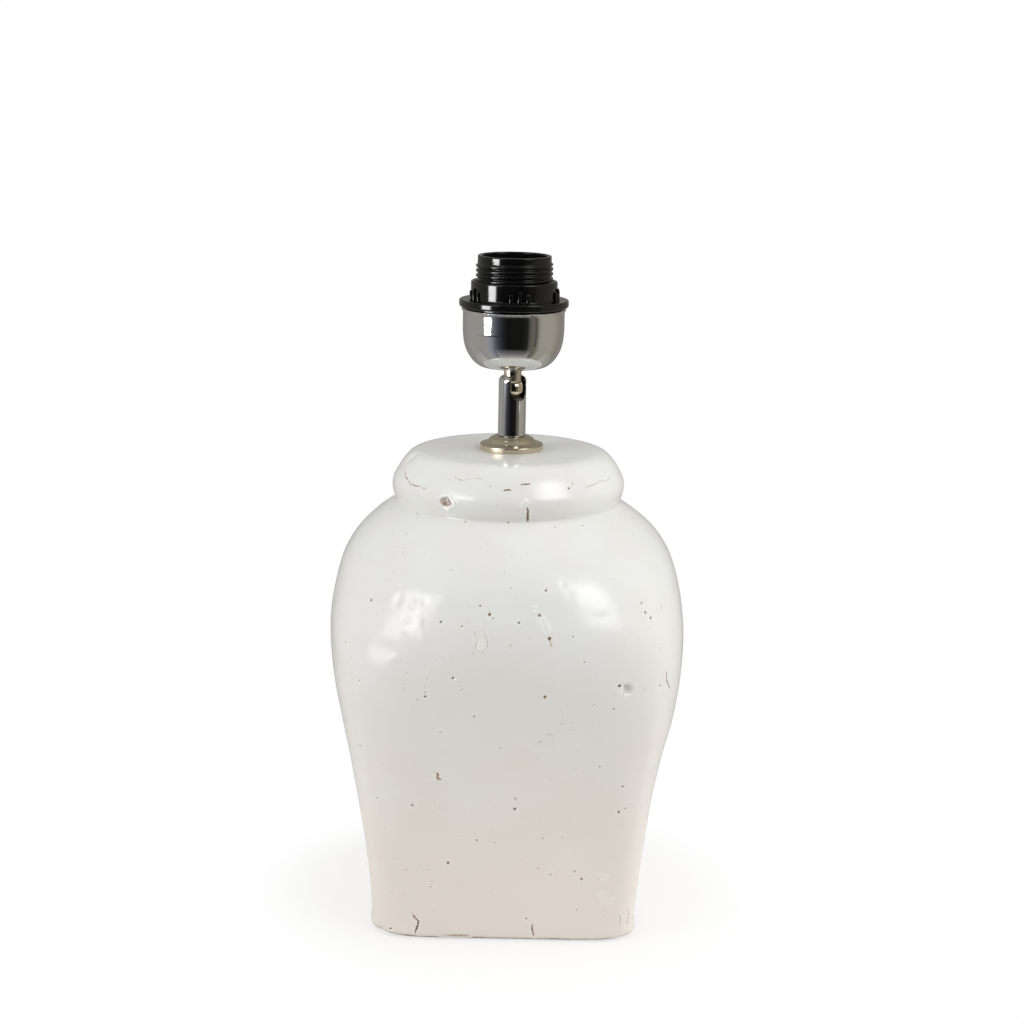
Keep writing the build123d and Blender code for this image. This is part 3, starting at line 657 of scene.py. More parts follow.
# Dents: place, size across and upright, depth, stain and lip, whose whiter rim is partly a painted highlight
dents = [
    (628, 689, 2.5, 2.6, 3.8, 0, .12), (412, 457, 4.5, 4.0, .8, 0, 0), (398, 600, 2.8, 4.6, .42, 0, 0),
    (412, 607, 1.8, 2.6, -.3, 0, 0), (407, 619, 3.0, 2.2, .38, 0, 0), (420, 622, 1.8, 3.6, -.24, 0, 0),
    (424, 602, 2.2, 2.6, .3, 0, 0), (404, 630, 2.2, 2.4, -.2, 0, 0), (421, 640, 1.2, 3.4, -.18, 0, 0),
    (417, 598, 1.4, 1.8, .26, 0, 0), (604, 880, 2.6, 3.6, -.2, 0, 0), (630, 925, 3.0, 4.6, .4, 0, 0),
    (460, 690, 3.0, 3.0, .18, 0, 0), (440, 733, 2.4, 2.6, .2, 0, 0), (550, 737, 3.4, 2.6, .2, 0, 0),
    (481, 643, 3.2, 5.4, .16, 0, 0), (570, 595, 3.0, 3.0, .12, 0, 0), (600, 610, 3.5, 3.5, -.12, 0, 0),
    (563, 584, 1.6, 3.0, .2, 0, 0), (458, 935.4, 9.5, .8, .2, .5, 0),
]
# Chips: place, size across and upright and depth, with clay in them and a white rim of glaze round them,
# partly a painted highlight
chips = [(445.5, 502, 4.3, 3.1, 1.0)]
print(len(pits), "pits,", len(cracks), "cracks and", len(dents), "dents are seen")

# %% Where the flaws lie on the jar
smooth_jar = jar_points(slab)
jar_faces = [list(p.vertices) for p in jar.data.polygons]
skin_tree = BVHTree.FromPolygons([Vector(p) for p in smooth_jar], jar_faces)


def on_jar(across, down):
    """The point of the jar at a place in the picture, or the nearest one to its line of sight."""
    ray = sight(across, down)
    hit = skin_tree.ray_cast(camera_place, ray)[0]
    if hit is None:
        away = ray * (-camera_place.y / ray.y)
        hit = skin_tree.find_nearest(camera_place + away)[0]
    return np.array(hit)


random.seed(11)


def wandering(points, step=0.8 * MM, stray=0.35 * MM):
    """A line through the points that wanders a little, as a crack does."""
    line = []
    for start, end in zip(points, points[1:]):
        count = max(1, round(float(np.linalg.norm(end - start)) / step))
        line += [start + (end - start) * k / count for k in range(count)]
    line.append(points[-1])
    for k in range(1, len(line) - 1):
        line[k] = line[k] + np.array([random.uniform(-stray, stray) for _ in range(3)])
    return np.array(line)


marks = []
pit_depth, pit_stain, pit_lip, chip_stain, chip_lip = 1.6, 1.0, 0.05, 0.62, 0.4
for across, down, radius in pits:
    marks.append(("pit", on_jar(across, down)[None], radius, radius * pit_depth, pit_stain, pit_lip))
for points, half, depth, stain, lip in cracks:
    marks.append(("crack", wandering([on_jar(*p) for p in points]), half, depth, stain, lip))
for across, down, wide, tall, depth, stain, lip in dents:
    marks.append(("dent", on_jar(across, down)[None], (wide, tall), depth, stain, lip))
for across, down, wide, tall, depth in chips:
    marks.append(("chip", on_jar(across, down)[None], (wide, tall), depth, chip_stain, chip_lip))
print(len(marks), "marks on the side that shows")

# %% [markdown]
# The photograph doesn't show the other three sides. The same potter and the same kiln made them, so they get
# pits, short cracks and dents of the same sizes, scattered by a seeded random generator.

# %% Flaws on the other sides
def spot_on_side(turn, level):
    """A point of the outside at a turn round the jar and a level in millimetres over the foot."""
    outer = outline[:len(outside)]
    along = float(np.interp(level, outer[:, 1], run[:len(outside)]))
    return jar_points(np.array([[turn % 1.0, along]]))[0]


def unseen_turn():
    """A turn on the side away from the camera, a little off the slab's joint."""
    turn = random.uniform(0.77, 1.23)
    return turn if abs(turn - 1) > 0.015 else turn + 0.04


for _ in range(70):
    radius = random.choice([.35, .4, .5, .6, .8])
    marks.append(("pit", spot_on_side(unseen_turn(), random.uniform(6, 236))[None], radius, radius, 1.0, .05))
for _ in range(12):
    turn, level = unseen_turn(), random.choice([random.uniform(218, 238), random.uniform(20, 200)])
    drift, climb = random.uniform(-.02, .02), random.uniform(-7, 7)
    line = [spot_on_side(turn + drift * k / 3, level + climb * k / 3) for k in range(4)]
    marks.append(("crack", wandering(line), random.uniform(.28, .5), .4, random.uniform(.4, 1), .12))
for _ in range(14):
    size = random.uniform(1.5, 4)
    place = spot_on_side(unseen_turn(), random.uniform(10, 232))[None]
    marks.append(("dent", place, (size, size * random.uniform(.7, 1.4)), .4, random.choice([0, .3, .8]), .25))
print(len(marks), "marks in all")

# %% [markdown]
# Now the slab is cut finer where a mark lies: cells of about two millimetres are cut in three each way, and
# those under pits, cracks and chips in two again. A search tree says quickly which cells are near.

# %% Cut the slab finer near the flaws
def half_size(size):
    """Half the length of a mark, in metres, from its one size or the larger of its two."""
    return (max(size) if isinstance(size, tuple) else size) * MM


def near_marks(places, kinds, reach):
    """True for each place that lies within reach of a mark of these kinds, beyond the mark's own size."""
    sizes, spots = [], []
    for kind, line, size, *_ in marks:
        if kind in kinds:
            spots += list(line)
            sizes += [half_size(size) * (1.4 if kind == "chip" else 1)] * len(line)
    tree = kdtree.KDTree(len(spots))
    for number, spot in enumerate(spots):
        tree.insert(spot, number)
    tree.balance()
    largest = max(sizes) + reach
    return [any(d < sizes[i] + reach for _, i, d in tree.find_range(place, largest)) for place in places]


def refine_slab(kinds, reach, cuts):
    """Cuts the slab's cells near marks of these kinds into smaller ones."""
    mesh = jar.data
    flat = coordinates(mesh)
    formed = jar_points(flat)
    centres = [formed[list(p.vertices)].mean(axis=0) for p in mesh.polygons]
    outer = [flat[p.vertices[0], 1] < outside_end for p in mesh.polygons]
    chosen = [a and b for a, b in zip(near_marks(centres, kinds, reach), outer)]
    select_only(jar)
    bpy.ops.object.mode_set(mode="EDIT")
    bpy.ops.mesh.select_mode(type="FACE")
    bpy.ops.mesh.select_all(action="DESELECT")
    bpy.ops.object.mode_set(mode="OBJECT")
    mesh.polygons.foreach_set("select", chosen)
    bpy.ops.object.mode_set(mode="EDIT")
    bpy.ops.mesh.subdivide(number_cuts=cuts, smoothness=0)
    bpy.ops.object.mode_set(mode="OBJECT")
    print("cut finer near", kinds, ":", sum(chosen), "cells, now", len(jar.data.polygons))


refine_slab(("pit", "crack", "dent", "chip"), 1.9 * MM, 2)
refine_slab(("pit", "crack", "chip"), 0.55 * MM, 1)

# %% Form the slab into the jar
flat = coordinates(jar.data)
formed = jar_points(flat)
jar.data.vertices.foreach_set("co", formed.ravel())
jar.data.update()
normals = np.zeros(len(formed) * 3)
jar.data.vertex_normals.foreach_get("vector", normals)
normals = normals.reshape(-1, 3)
belt = (flat[:, 1] > 20) & (flat[:, 1] < 150)
if np.mean(np.sum(normals[belt] * formed[belt] * [1, 1, 0], axis=1)) < 0:
    normals = -normals
outer = flat[:, 1] < outside_end
print("formed", len(formed), "points")

# %% [markdown]
# The flaws are pressed in along the surface's own direction, as a fingertip or a burst bubble would. A pit is
# a small round hole, a crack is a groove that fades at its ends, a dent is an oval hollow, and a chip has lost
# its glaze. Each kind has a function that gives how far it moves the surface, in millimetres, how much clay
# shows, and how white its raised lip is painted. Clay and the white lips are painted on the mesh; the white of
# the lips is partly thick glaze and partly a painted highlight.

# %% Press the flaws in
press, bare_paint, lip_glaze_and_highlight_paint = (np.zeros(len(formed)) for _ in range(3))


def line_distance(points, line):
    """Distance of each point from a line of many short pieces, and how far along the line that is."""
    best, share = np.full(len(points), 1e9), np.zeros(len(points))
    if len(line) == 1:
        return np.linalg.norm(points - line[0], axis=1), share
    for k, (start, end) in enumerate(zip(line, line[1:])):
        way = end - start
        t = np.clip((points - start) @ way / max(way @ way, 1e-12), 0, 1)
        away = np.linalg.norm(points - start - t[:, None] * way, axis=1)
        nearer = away < best
        best[nearer], share[nearer] = away[nearer], ((k + t) / (len(line) - 1))[nearer]
    return best, share


def roughness_at(points, size_mm, seed):
    """A noise from about -1 to 1 at each point, whose lumps have a size in millimetres."""
    return np.array([noise.noise(Vector(p) / (size_mm * MM) + Vector((seed, 0, 0))) for p in points])


def oval_distance(points, line, size):
    """Distance from the middle of an oval as a share of its half width and half height."""
    away = points - line[0]
    return np.hypot(np.hypot(away[:, 0], away[:, 1]) / size[0], away[:, 2] / size[1]) / MM


def chip(points, line, rough, size, depth, stain, lip):
    """A ragged hole with clay in it and a white rim of glaze, the white partly a painted highlight."""
    spread = oval_distance(points, line, size) * (1 + 0.3 * rough)
    hole, rim = 1 / (1 + np.exp((spread - 0.72) / 0.07)), bell(spread - 1.0, 0.15)
    clay = stain * hole * (0.75 + 0.9 * rough) + 0.3 * hole * (spread > 0.5)
    return lip * rim - depth * hole * (0.8 + 0.5 * rough), clay, rim


def dent(points, line, rough, size, depth, stain, lip):
    """An oval bowl, which may have a stained middle and a low rim painted whiter, partly as a painted
    highlight.
    """
    spread = oval_distance(points, line, size) * (1 + 0.35 * rough)
    bowl = np.exp(-spread**2 * 1.6) * (1 + 0.3 * rough)
    clay = stain * np.clip(1.9 - 1.75 * spread, 0, 1)
    return lip * bell(spread - 1.35, 0.3) - depth * bowl, clay, min(1, lip * 2.5) * bell(spread - 1.4, 0.3)


def pit(points, line, rough, size, depth, stain, lip, clay_reach=1.4, fades=False):
    """A small round hole, or with fades a groove that gets shallower towards both ends of its line."""
    away, share = line_distance(points, line)
    fade = np.clip(4.5 * (0.5 - np.abs(share - 0.5)) + 0.3, 0.3, 1) if fades else 1
    half = size * MM * fade * (1 + 0.4 * rough)
    clay = stain * np.clip(clay_reach - away / half, 0, 1)
    push = lip * bell(away - 2.1 * half, half) - depth * fade * bell(away, half)
    # The third value paints the raised lip white: partly thick glaze, partly a painted highlight.
    return push, clay, min(1, lip * 3) * bell(away - 2.2 * half, half)


def crack(*mark):
    """A groove along a wandering line."""
    return pit(*mark, clay_reach=1.75, fades=True)


shapes_and_grains = {"pit": (pit, 1.5), "crack": (crack, 1.5), "dent": (dent, 2.2), "chip": (chip, 2.2)}
for number, (kind, line, size, *rest) in enumerate(marks):
    margin = 4 * half_size(size) + 2 * MM
    inside_box = (formed > line.min(axis=0) - margin) & (formed < line.max(axis=0) + margin)
    near = np.nonzero(outer & np.all(inside_box, axis=1))[0]
    if len(near) == 0:
        continue
    shape, grain_mm = shapes_and_grains[kind]
    rough = roughness_at(formed[near], grain_mm, number)
    push, clay_shown, lip_glaze_and_highlight_shown = shape(formed[near], line, rough, size, *rest)
    press[near] += push * MM
    bare_paint[near] = np.maximum(bare_paint[near], clay_shown)
    # Whiter lips: partly thick glaze, partly a painted highlight.
    lip_glaze_and_highlight_paint[near] = np.maximum(lip_glaze_and_highlight_paint[near], lip_glaze_and_highlight_shown)
print("pressed by", round(float(press.min() / MM), 2), "to", round(float(press.max() / MM), 2), "mm")

# %% [markdown]
# Hand-made clay is never true. Slow swells a few centimetres across and small ripples under the glaze go over
# the whole outside, and fade out on the flat top, where the cap sits. The foot's edge is rubbed bare.

# %% Swells, ripples and the bare foot
swell_size, ripple_size, rub_size = 48, 17, 9
swell = roughness_at(formed, swell_size, 3.0) * 0.75 + roughness_at(formed, ripple_size, 8.0) * 0.16
level = formed[:, 2] / MM - foot / MM
radius = np.hypot(formed[:, 0], formed[:, 1]) / MM
near_cap, near_foot, near_top = 19, 6, 232
calm = np.clip((radius - near_cap) / 20, 0, 1) * np.clip(level / near_foot, 0, 1)
calm *= np.clip(1.15 - (level - near_top) / 10, 0.15, 1)
press += outer * calm * swell * MM
rubbed = outer * np.clip(1.2 + 1.6 * roughness_at(formed, rub_size, 5.0) - level, 0, 1)
bare_paint = np.maximum(bare_paint, 0.7 * rubbed)
inside = flat[:, 1] > run[len(outside)]
bare_paint = np.where(inside, 1.0, bare_paint)
shaped = formed + normals * press[:, None]
shaped[:, 2] = np.clip(shaped[:, 2], foot, None)
jar.data.vertices.foreach_set("co", shaped.ravel())
# The "thick" mark holds the white lips, partly a painted highlight.
for name, paint in (("bare", bare_paint), ("thick", lip_glaze_and_highlight_paint)):
    jar.data.attributes.new(name, "FLOAT", "POINT").data.foreach_set("value", paint.astype(np.float32))
jar.data.update()
close_mesh(jar, 60)
print("jar has", len(jar.data.vertices), "points")

# %% Cable outlet in the back wall
outlet_level, outlet_radius, seat_radius = foot + 19 * MM, 5.0 * MM, 8.5 * MM
back = 69.95 * MM
bush_inside, bush_seat = back - 7.5 * MM, back - 1.2 * MM
cut_end = (0, back + 6 * MM, outlet_level)
cut_away(jar, rod(seat_radius, (0, bush_seat, outlet_level), cut_end))
cut_away(jar, rod(outlet_radius, (0, back - 14 * MM, outlet_level), cut_end, 48))
close_mesh(jar, 60)
finish_piece(jar, glaze, "glazed_clay", "base", "ceramic_jar")
print("jar has", sum(len(p.vertices) - 2 for p in jar.data.polygons), "triangles")

# %% [markdown]
# Under the foot is a felt pad, cut to the foot's shape a few millimetres smaller. It is a flat sheet with a
# soft, slightly ragged edge. A circle primitive is drawn out to the foot's section and given its thickness.

# %% Felt pad
felt_low, felt_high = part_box("felt_base_pad")
felt_half, felt_square, fray = felt_high.x, 3.2, 0.25 * MM
select_only()
bpy.ops.mesh.primitive_circle_add(vertices=240, radius=1, fill_type="NGON")
pad = bpy.context.object
pad.name = "felt_pad"
for vertex in pad.data.vertices:
    across, ahead = vertex.co.x, vertex.co.y
    reach = felt_half / (abs(across) ** felt_square + abs(ahead) ** felt_square) ** (1 / felt_square)
    reach += noise.noise(Vector((across * 40, ahead * 40, 0))) * fray
    vertex.co = (reach * across, reach * ahead, felt_low.z)
pad.data.update()
bpy.ops.object.mode_set(mode="EDIT")
bpy.ops.mesh.select_all(action="SELECT")
bpy.ops.mesh.inset(thickness=3 * MM)
bpy.ops.mesh.inset(thickness=12 * MM)
bpy.ops.mesh.select_all(action="SELECT")
bpy.ops.mesh.extrude_region_move(TRANSFORM_OT_translate={"value": (0, 0, felt_high.z - felt_low.z)})
bpy.ops.object.mode_set(mode="OBJECT")
close_mesh(pad)
bevel(pad, 0.3 * MM, 3)
close_mesh(pad)
finish_piece(pad, felt, "felt", "base", "felt_base_pad")

# %% [markdown]
# The cord leaves through a rubber bush low in the back wall. It is turned about the upright axis like the rest
# and then laid over so that its axis points to the back.

# %% Rubber bush
cord_bore, bush_neck, bush_collar, bush_nose = 3.2 * MM, 4.95 * MM, 7.5 * MM, bush_inside - 1.6 * MM
bush = turned("rubber_bush", [
    (cord_bore, bush_nose, 0.4 * MM),
    (5.3 * MM, bush_nose, 0.4 * MM),
    (6.0 * MM, bush_inside),
    (bush_neck, bush_inside),
    (bush_neck, bush_seat),
    (bush_collar, bush_seat),
    (bush_collar, bush_seat + 1.8 * MM, 0.7 * MM),
    (4.4 * MM, bush_seat + 2.0 * MM, 0.6 * MM),
    (cord_bore, bush_seat + 1.4 * MM, 0.4 * MM),
], sides=72)
bush.data.transform(Matrix.Translation((0, 0, outlet_level)) @ Matrix.Rotation(-math.pi / 2, 4, "X"))
finish_piece(bush, rubber, "rubber_bush", "base", "cable_grommet")

# %% [markdown]
# The cap is pressed from sheet and nickel-plated: an upright rim, a narrow ledge and a dome up to the crown
# that the barrel stands on. The ledge catches a thin line of light, so it is drawn, not left to a plain cone.

# %% Nickel cap
cap_inside, cap_bore, under_crown = cap_radius - 1.2 * MM, 5.3 * MM, cap_top - 1.1 * MM
cap = turned("nickel_cap", [
    (cap_inside, top),
    (cap_radius, top, 0.25 * MM),
    (cap_radius, top + 3.0 * MM, 0.7 * MM),
    (14.6 * MM, top + 3.5 * MM, 0.6 * MM),
    (12.9 * MM, top + 3.9 * MM, 1.2 * MM),
    (11.2 * MM, top + 6.0 * MM, 2.2 * MM),
    (8.6 * MM, cap_top, 0.8 * MM),
    (cap_bore, cap_top),
    (cap_bore, under_crown),
    (8.0 * MM, under_crown),
    (12.0 * MM, top + 2.6 * MM),
    (cap_inside, top + 2.0 * MM),
], sides=160)
finish_piece(cap, nickel, "nickel_plate", "base", "vase_cap")

# %% [markdown]
# The swivel barrel is a chromed tube whose top is closed over the ball. A slot runs down one side so that the
# stem can lean out. The tube is turned first; the slot is then cut with a box that ends in a rod, and the
# cut's edges get a fine bevel, because a real edge is never sharp and the bevel is what shines.

# %% Swivel barrel
barrel_radius, bore, mouth, ball_radius = 7.15 * MM, 6.08 * MM, 4.75 * MM, 6.0 * MM
slot_turn = math.radians(34)
slot_way = Vector((math.sin(slot_turn), -math.cos(slot_turn), 0))
slot_long, slot_tall = 10, 12
crown_round = 2.8 * MM
crown_centre = barrel_radius - crown_round
crown_end = math.acos((mouth - crown_centre) / crown_round)
barrel = turned("swivel_tube", [
    (bore, barrel_foot),
    (barrel_radius, barrel_foot, 0.4 * MM),
    (barrel_radius, barrel_top - crown_round - 0.3 * MM),
    *arc(crown_round, crown_centre, barrel_top - crown_round, 0, crown_end, 12),
    *arc(bore, 0, ball_level, math.acos(mouth / bore), 0, 10),
], sides=160)
slot_start = Vector((0, 0, slot_level))
cut_away(barrel, rod(mouth, slot_start, slot_start + slot_way * slot_long * MM))
select_only()
gate_place = slot_start + slot_way * (slot_long / 2) * MM + Vector((0, 0, slot_tall / 2 * MM))
bpy.ops.mesh.primitive_cube_add(size=1, location=gate_place)
gate = bpy.context.object
gate.scale = (2 * mouth, slot_long * MM, slot_tall * MM)
gate.rotation_euler = (0, 0, slot_turn)
cut_away(barrel, gate)
bevel(barrel, 0.16 * MM, 2, 40)
close_mesh(barrel, 45)
finish_piece(barrel, chrome, "chrome_plate", "swivel", "swivel_barrel")

# %% [markdown]
# Ball and stem are one turned piece with a bore for the wires. Close under the cup is a hole for the small
# screw that locks the cup, seen in the photograph as a dark dot. The ball is bright and the stem brushed.

# %% Ball and stem
stem_radius, stem_bore, tenon_radius, bright_height = 4.55 * MM, 2.6 * MM, 3.95 * MM, 4.4 * MM
tenon_top = cup_foot + 0.9 * MM + 4.5 * MM
ball_ends = -math.acos(stem_bore / ball_radius), math.acos(stem_radius / ball_radius)
stem = turned("ball_and_stem", [
    *arc(ball_radius, 0, ball_level, *ball_ends, 22),
    (stem_radius, cup_foot - 0.15 * MM, 0.2 * MM),
    (tenon_radius, cup_foot - 0.02 * MM),
    (tenon_radius, tenon_top, 0.3 * MM),
    (stem_bore, tenon_top, 0.2 * MM),
], sides=96)
screw_level = cup_foot - 2.9 * MM
cut_away(stem, rod(1.22 * MM, (0, -1.3 * MM, screw_level), (0, -6 * MM, screw_level), 40))
bevel(stem, 0.12 * MM, 2, 45)
close_mesh(stem, 45)
finish_piece(stem, bright_nickel, "nickel_plate", "head", "ball_stem")
stem.data.materials.append(stem_nickel)
for face in stem.data.polygons:
    if face.center.z > ball_level + bright_height:
        face.material_index = 1

# %% [markdown]
# The cup is deep-drawn from thin sheet and chromed. Its bowl is a smooth curve from the flat floor up to the
# straight wall, and its top edge is flared a little under the lampholder, which gives the light line that runs
# all round below the black flange.

# %% Chrome cup
cup_radius, sheet_thick, bowl, cup_hole = 26.2 * MM, 0.9 * MM, 19.0 * MM, 4.2 * MM
flare, flare_inside = 26.98 * MM, 24.4 * MM
bowl_shares = [(0.0, 0.5), (0.035, 0.64), (0.195, 0.8), (0.36, 0.885), (0.52, 0.94), (0.7, 0.975), (1.0, 1.0)]


def bowl_arc(radius, low, steps=26):
    """The bowl from its flat floor up to the straight wall, as radius and level."""
    heights, widths = np.array(bowl_shares).T
    way = lengths_along(np.stack([heights * bowl, widths * radius], axis=1))
    at = np.linspace(0, way[-1], steps)
    tall = smooth_through(way, heights, at)
    wide = smooth_through(way, widths, at)
    return [(float(w * radius), float(low + t * (cup_foot + bowl - low))) for w, t in zip(wide, tall)]


cup = turned("chrome_cup_shell", [
    (cup_hole, cup_foot, 0.2 * MM),
    *bowl_arc(cup_radius, cup_foot),
    (cup_radius, cup_foot + bowl + 0.4 * MM),
    (cup_radius, cup_top - 2.6 * MM),
    (cup_radius, cup_top - 2.0 * MM),
    (flare, cup_top - 0.45 * MM, 0.12 * MM),
    (26.7 * MM, cup_top - 0.05 * MM),
    (flare_inside, cup_top - 0.05 * MM),
    (24.2 * MM, cup_top - 0.9 * MM),
    (cup_radius - sheet_thick, cup_top - 2.4 * MM, 0.4 * MM),
    *reversed(bowl_arc(cup_radius - sheet_thick, cup_foot + sheet_thick)),
    (cup_hole, cup_foot + sheet_thick),
], sides=192, pieces=8)
finish_piece(cup, chrome, "chrome_plate", "head", "chrome_cup")


# %% [markdown]
# A screw thread is a radius that depends on the turn: going once round lifts it by one pitch. The sleeve is
# turned as a plain tube with many close rows, and then each point of its threaded stretches is moved out
# or in by that rule, fading in and out at the ends as moulded threads do.

# %% Thread rule
def thread_shape(level, turn, first, last, pitch, depth, run_out):
    """How far the thread stands up, from 0 to its depth, at a level and a turn in radians."""
    phase = ((level - first) / pitch - turn / (2 * math.pi)) % 1.0
    crest = np.clip(1.42 - 3.15 * np.abs(phase - 0.5), 0, 1)
    crest = crest * crest * (3 - 2 * crest)
    ends = np.clip((level - first) / run_out, 0, 1) * np.clip((last - level) / run_out, 0, 1)
    return depth * crest * ends


def cut_thread(piece, wall_radius, first, last, pitch, depth, run_out):
    """Moves the points of a tube's wall, found by their radius and level, out by the thread's shape."""
    points = coordinates(piece.data)
    radius = np.hypot(points[:, 0], points[:, 1])
    turn = np.arctan2(points[:, 1], points[:, 0])
    slack = 0.01 * MM
    wall = (radius > wall_radius - slack) & (radius < wall_radius + slack)
    wall &= (points[:, 2] > first) & (points[:, 2] < last)
    grown = radius + wall * thread_shape(points[:, 2], turn, first, last, pitch, depth, run_out)
    points[:, :2] *= (grown / np.maximum(radius, 1e-9))[:, None]
    piece.data.vertices.foreach_set("co", points.ravel())
    piece.data.update()
    print(piece.name, int(wall.sum()), "points carry a thread of pitch", round(pitch / MM, 2), "mm")


# %% Black sleeve of the lampholder
root, crest, thread_pitch = 18.93 * MM, 19.84 * MM, 2.5 * MM
thread_low, thread_high = shoulder + 3.3 * MM, shoulder + 23.0 * MM
bulb_root, bulb_crest, bulb_pitch = 13.35 * MM, 12.25 * MM, 3.63 * MM
bulb_mouth = rim - 9.7 * MM
bulb_low, bulb_high = bulb_mouth - 15 * MM, bulb_mouth - 0.4 * MM
tube_foot, skirt, skirt_inside, neck_inside = bulb_mouth - 25 * MM, 25.1 * MM, 23.1 * MM, 16.8 * MM
lip, bulb_tube, under_mouth, under_shoulder = 25.7 * MM, 15.2 * MM, bulb_mouth - 2.5 * MM, shoulder - 2.5 * MM
outside_rows = [(root, z) for z in np.arange(thread_low, thread_high, 0.25 * MM)]
inside_rows = [(bulb_root, z) for z in np.arange(bulb_high, bulb_low, -0.36 * MM)]
sleeve = turned("lampholder_sleeve", [
    (skirt, skirt_foot, 0.3 * MM),
    (skirt, cup_top),
    (lip, cup_top, 0.15 * MM),
    (lip, shoulder, 0.25 * MM),
    (root, shoulder, 0.2 * MM),
    *outside_rows,
    (root, thread_high + 0.2 * MM),
    (root, rim, 0.55 * MM),
    (neck_inside, rim, 0.7 * MM),
    (neck_inside, bulb_mouth, 0.3 * MM),
    (bulb_root + 0.5 * MM, bulb_mouth, 0.8 * MM),
    *inside_rows,
    (bulb_root, tube_foot, 0.3 * MM),
    (bulb_tube, tube_foot, 0.3 * MM),
    (bulb_tube, under_mouth),
    (neck_inside, under_mouth),
    (neck_inside, under_shoulder),
    (skirt_inside, under_shoulder),
    (skirt_inside, skirt_foot, 0.3 * MM),
], sides=168, pieces=4)
cut_thread(sleeve, root, thread_low, thread_high, thread_pitch, crest - root, 1.1 * MM)
cut_thread(sleeve, bulb_root, bulb_low, bulb_high, bulb_pitch, bulb_crest - bulb_root, 1.8 * MM)
bpy.ops.object.shade_smooth_by_angle(angle=math.radians(50))
finish_piece(sleeve, black_plastic, "black_plastic", "head", "socket_sleeve")

# %% [markdown]
# The shade ring screws over the sleeve. Grip ribs stand on its collar in five groups of three, the middle one
# taller. A plain and a tall rib are made from cubes with their edges bevelled, and copied round; a union makes
# ring and ribs one moulding.

# %% Shade ring
ring_radius, flange, ring_height = 28.18 * MM, 3.7 * MM, 13.3 * MM
collar, ring_mouth, ring_bore = 22.25 * MM, 20.5 * MM, 20.15 * MM
rib_wide, rib_deep, rib_lean, rib_sunk = 1.9 * MM, 2.3 * MM, 0.5 * MM, 0.6 * MM
rib_height, middle_rib_more, groups, first_turn, rib_turn = 5.8, 1.4, 5, 7.3, 11
groove_low, groove_high = shoulder + 0.7 * MM, shoulder + 12.4 * MM
groove_rows = [(ring_bore, z) for z in np.arange(groove_high, groove_low, -0.3 * MM)]
ring = turned("shade_ring_moulding", [
    (ring_mouth, shoulder, 0.15 * MM),
    (ring_radius, shoulder, 0.9 * MM),
    (ring_radius, shoulder + flange, 0.75 * MM),
    (collar, shoulder + flange, 0.7 * MM),
    (collar, shoulder + ring_height, 0.95 * MM),
    (ring_mouth, shoulder + ring_height, 0.3 * MM),
    *groove_rows,
], sides=168, pieces=5)
cut_thread(ring, ring_bore, groove_low, groove_high, thread_pitch, 0.7 * MM, 1.2 * MM)


def grip_rib(height):
    """One rib at the front: a bevelled bar whose top slopes down outwards."""
    select_only()
    low = shoulder + flange - rib_sunk
    bpy.ops.mesh.primitive_cube_add(size=1, location=(0, -collar, low + height / 2))
    bar = bpy.context.object
    bar.scale = (rib_wide, rib_deep, height)
    bpy.ops.object.transform_apply(location=True, rotation=False, scale=True)
    for vertex in bar.data.vertices:
        if vertex.co.z > low + height / 2 and vertex.co.y < -collar:
            vertex.co.z -= rib_lean
    bevel(bar, 0.5 * MM, 3)
    return bar


plain_rib, tall_rib = grip_rib(rib_height * MM), grip_rib((rib_height + middle_rib_more) * MM)
bars = []
for group in range(groups):
    for place in (-1, 0, 1):
        bar = (tall_rib if place == 0 else plain_rib).copy()
        bar.data = bar.data.copy()
        bpy.context.collection.objects.link(bar)
        turn = math.radians(first_turn + 360 / groups * group + rib_turn * place)
        bar.data.transform(Matrix.Rotation(turn, 4, "Z"))
        bars.append(bar)
for rib in (plain_rib, tall_rib):
    bpy.data.objects.remove(rib, do_unlink=True)
select_only(*bars)
bpy.ops.object.join()
ribs = bpy.context.object
apply_modifier(ring, "BOOLEAN", "ribs", object=ribs, operation="UNION", solver="EXACT")
bpy.data.objects.remove(ribs, do_unlink=True)
close_mesh(ring, 42)
finish_piece(ring, black_plastic, "black_plastic", "ring", "shade_ring")
print("ring has", len(ring.data.polygons), "faces")

# %% [markdown]
# The small parts inside stay as the CAD gives them, because only slivers of them are ever seen: down the
# lampholder's mouth, through the slot, or under the jar. Each gets the finish of its real material.

# %% Finishes of the parts that stay
kept_finishes = (
    (zinc_steel, ("threaded_tube", "retaining_washer", "lock_nut", "cup_nut", "terminal_screws")),
    (spring_steel, ("spring_washer", "disc_spring", "stem_grub_screw", "contact_spring")),
    (block_plastic, ("ball_seat", "contact_block")),
    (brass, ("swivel_bush", "center_contact", "side_contact", "contact_rivets", "terminal_blocks")),
)
for material, names in kept_finishes:
    for name in names:
        nodes[name].data.materials.clear()
        nodes[name].data.materials.append(material)
print(sum(len(names) for _, names in kept_finishes), "CAD nodes keep their shape")

# %% [markdown]
# The stage. A round pale floor carries the lamp's shadow close by and fades to plain white further out, as the
# photograph has it. The world is white where the camera or a mirror looks past the floor.

